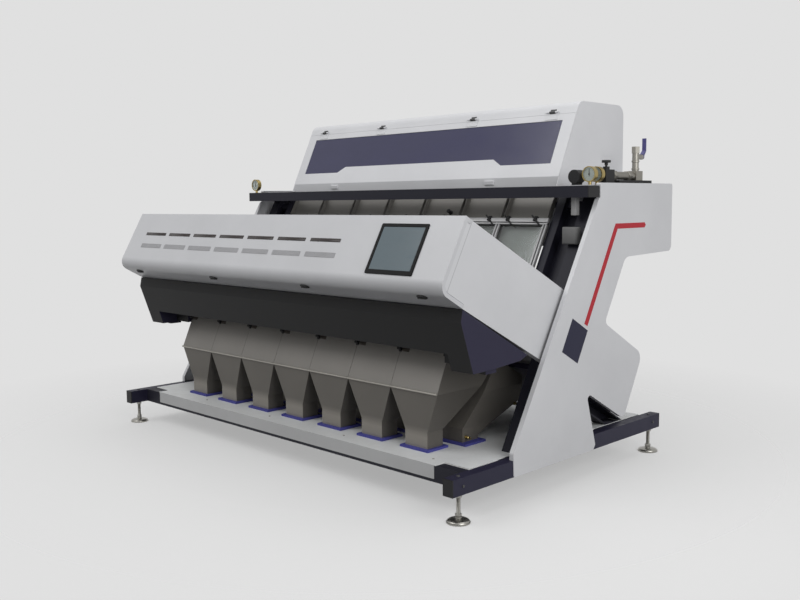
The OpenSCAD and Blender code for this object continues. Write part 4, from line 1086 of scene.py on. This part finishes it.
def add_area(name, place, aim, size, energy, colour=(1.0, 1.0, 1.0)):
    """A square soft light that looks from its place to a point."""
    data = bpy.data.lights.new(name, "AREA")
    data.size = size
    data.energy = energy
    data.color = colour
    made = new_object(name, data)
    made.location = place
    made.rotation_euler = (Vector(aim) - Vector(place)).to_track_quat("-Z", "Y").to_euler()


BACKDROP = 0.745
WORLD_LIGHT = 0.42
FLOOR_HALF = 14.0
FLOOR_PALE, FLOOR_BOUNCE, FLOOR_VEIL = 0.8, 0.16, 0.5
VEIL_FROM, VEIL_WHOLE = 1.5, 3.6


def seen_rays(tree):
    """One for the rays of the camera, of gloss and of glass, which see the pale backdrop."""
    path = node(tree, "LightPath")
    seen = math_of(tree, "MAXIMUM", path.outputs["Is Camera Ray"], path.outputs["Is Glossy Ray"])
    return math_of(tree, "MAXIMUM", seen, path.outputs["Is Transmission Ray"])


def add_world():
    """Soft light all round; what the camera, gloss and glass see is the pale backdrop."""
    world = bpy.data.worlds.new("studio")
    bpy.context.scene.world = world
    world.use_nodes = True
    tree = world.node_tree
    tree.nodes.clear()
    seen = seen_rays(tree)
    light = node(tree, "Background", {"Color": (1.0, 1.0, 1.0, 1.0)})
    feed(tree, spread(tree, seen, 0.0, 1.0, WORLD_LIGHT, BACKDROP), light.inputs["Strength"])
    feed(tree, light.outputs["Background"], node(tree, "OutputWorld").inputs["Surface"])


def add_floor():
    """Pale floor, seen through a veil of the backdrop that is whole away from the machine."""
    corners = FLOOR_HALF * np.array([[-1, -1, 0], [1, -1, 0], [1, 1, 0], [-1, 1, 0]], float)
    mesh = bpy.data.meshes.new("floor")
    mesh.from_pydata(corners.tolist(), [], [[0, 1, 2, 3]])
    made = new_object("floor", mesh)
    finish, tree, shader, vector = new_finish("pale_floor", Specular_IOR_Level=0.1)
    seen = seen_rays(tree)
    surface(tree, shader, tint(tree, seen, (FLOOR_BOUNCE,) * 3, (FLOOR_PALE,) * 3), 0.9)
    away = node(tree, "VectorMath", operation="LENGTH")
    feed(tree, vector, away.inputs[0])
    fade = spread(tree, away.outputs["Value"], VEIL_FROM, VEIL_WHOLE)
    veil = spread(tree, fade, 0.0, 1.0, FLOOR_VEIL, 1.0)
    hidden = times(tree, veil, seen)
    feed(tree, math_of(tree, "SUBTRACT", 1.0, hidden), shader.inputs["Alpha"])
    mesh.materials.append(finish)


add_camera()
add_world()
add_floor()
add_area("key", (-2.0, -4.8, 6.0), (0.0, 0.0, 1.0), 4.0, 150.0)
add_area("side", (6.5, -1.5, 3.2), (0.5, 0.0, 0.9), 4.0, 185.0)
add_area("top", (0.5, 0.5, 6.0), (0.0, 0.0, 1.0), 5.0, 86.0)
bpy.context.scene.view_settings.view_transform = "Standard"
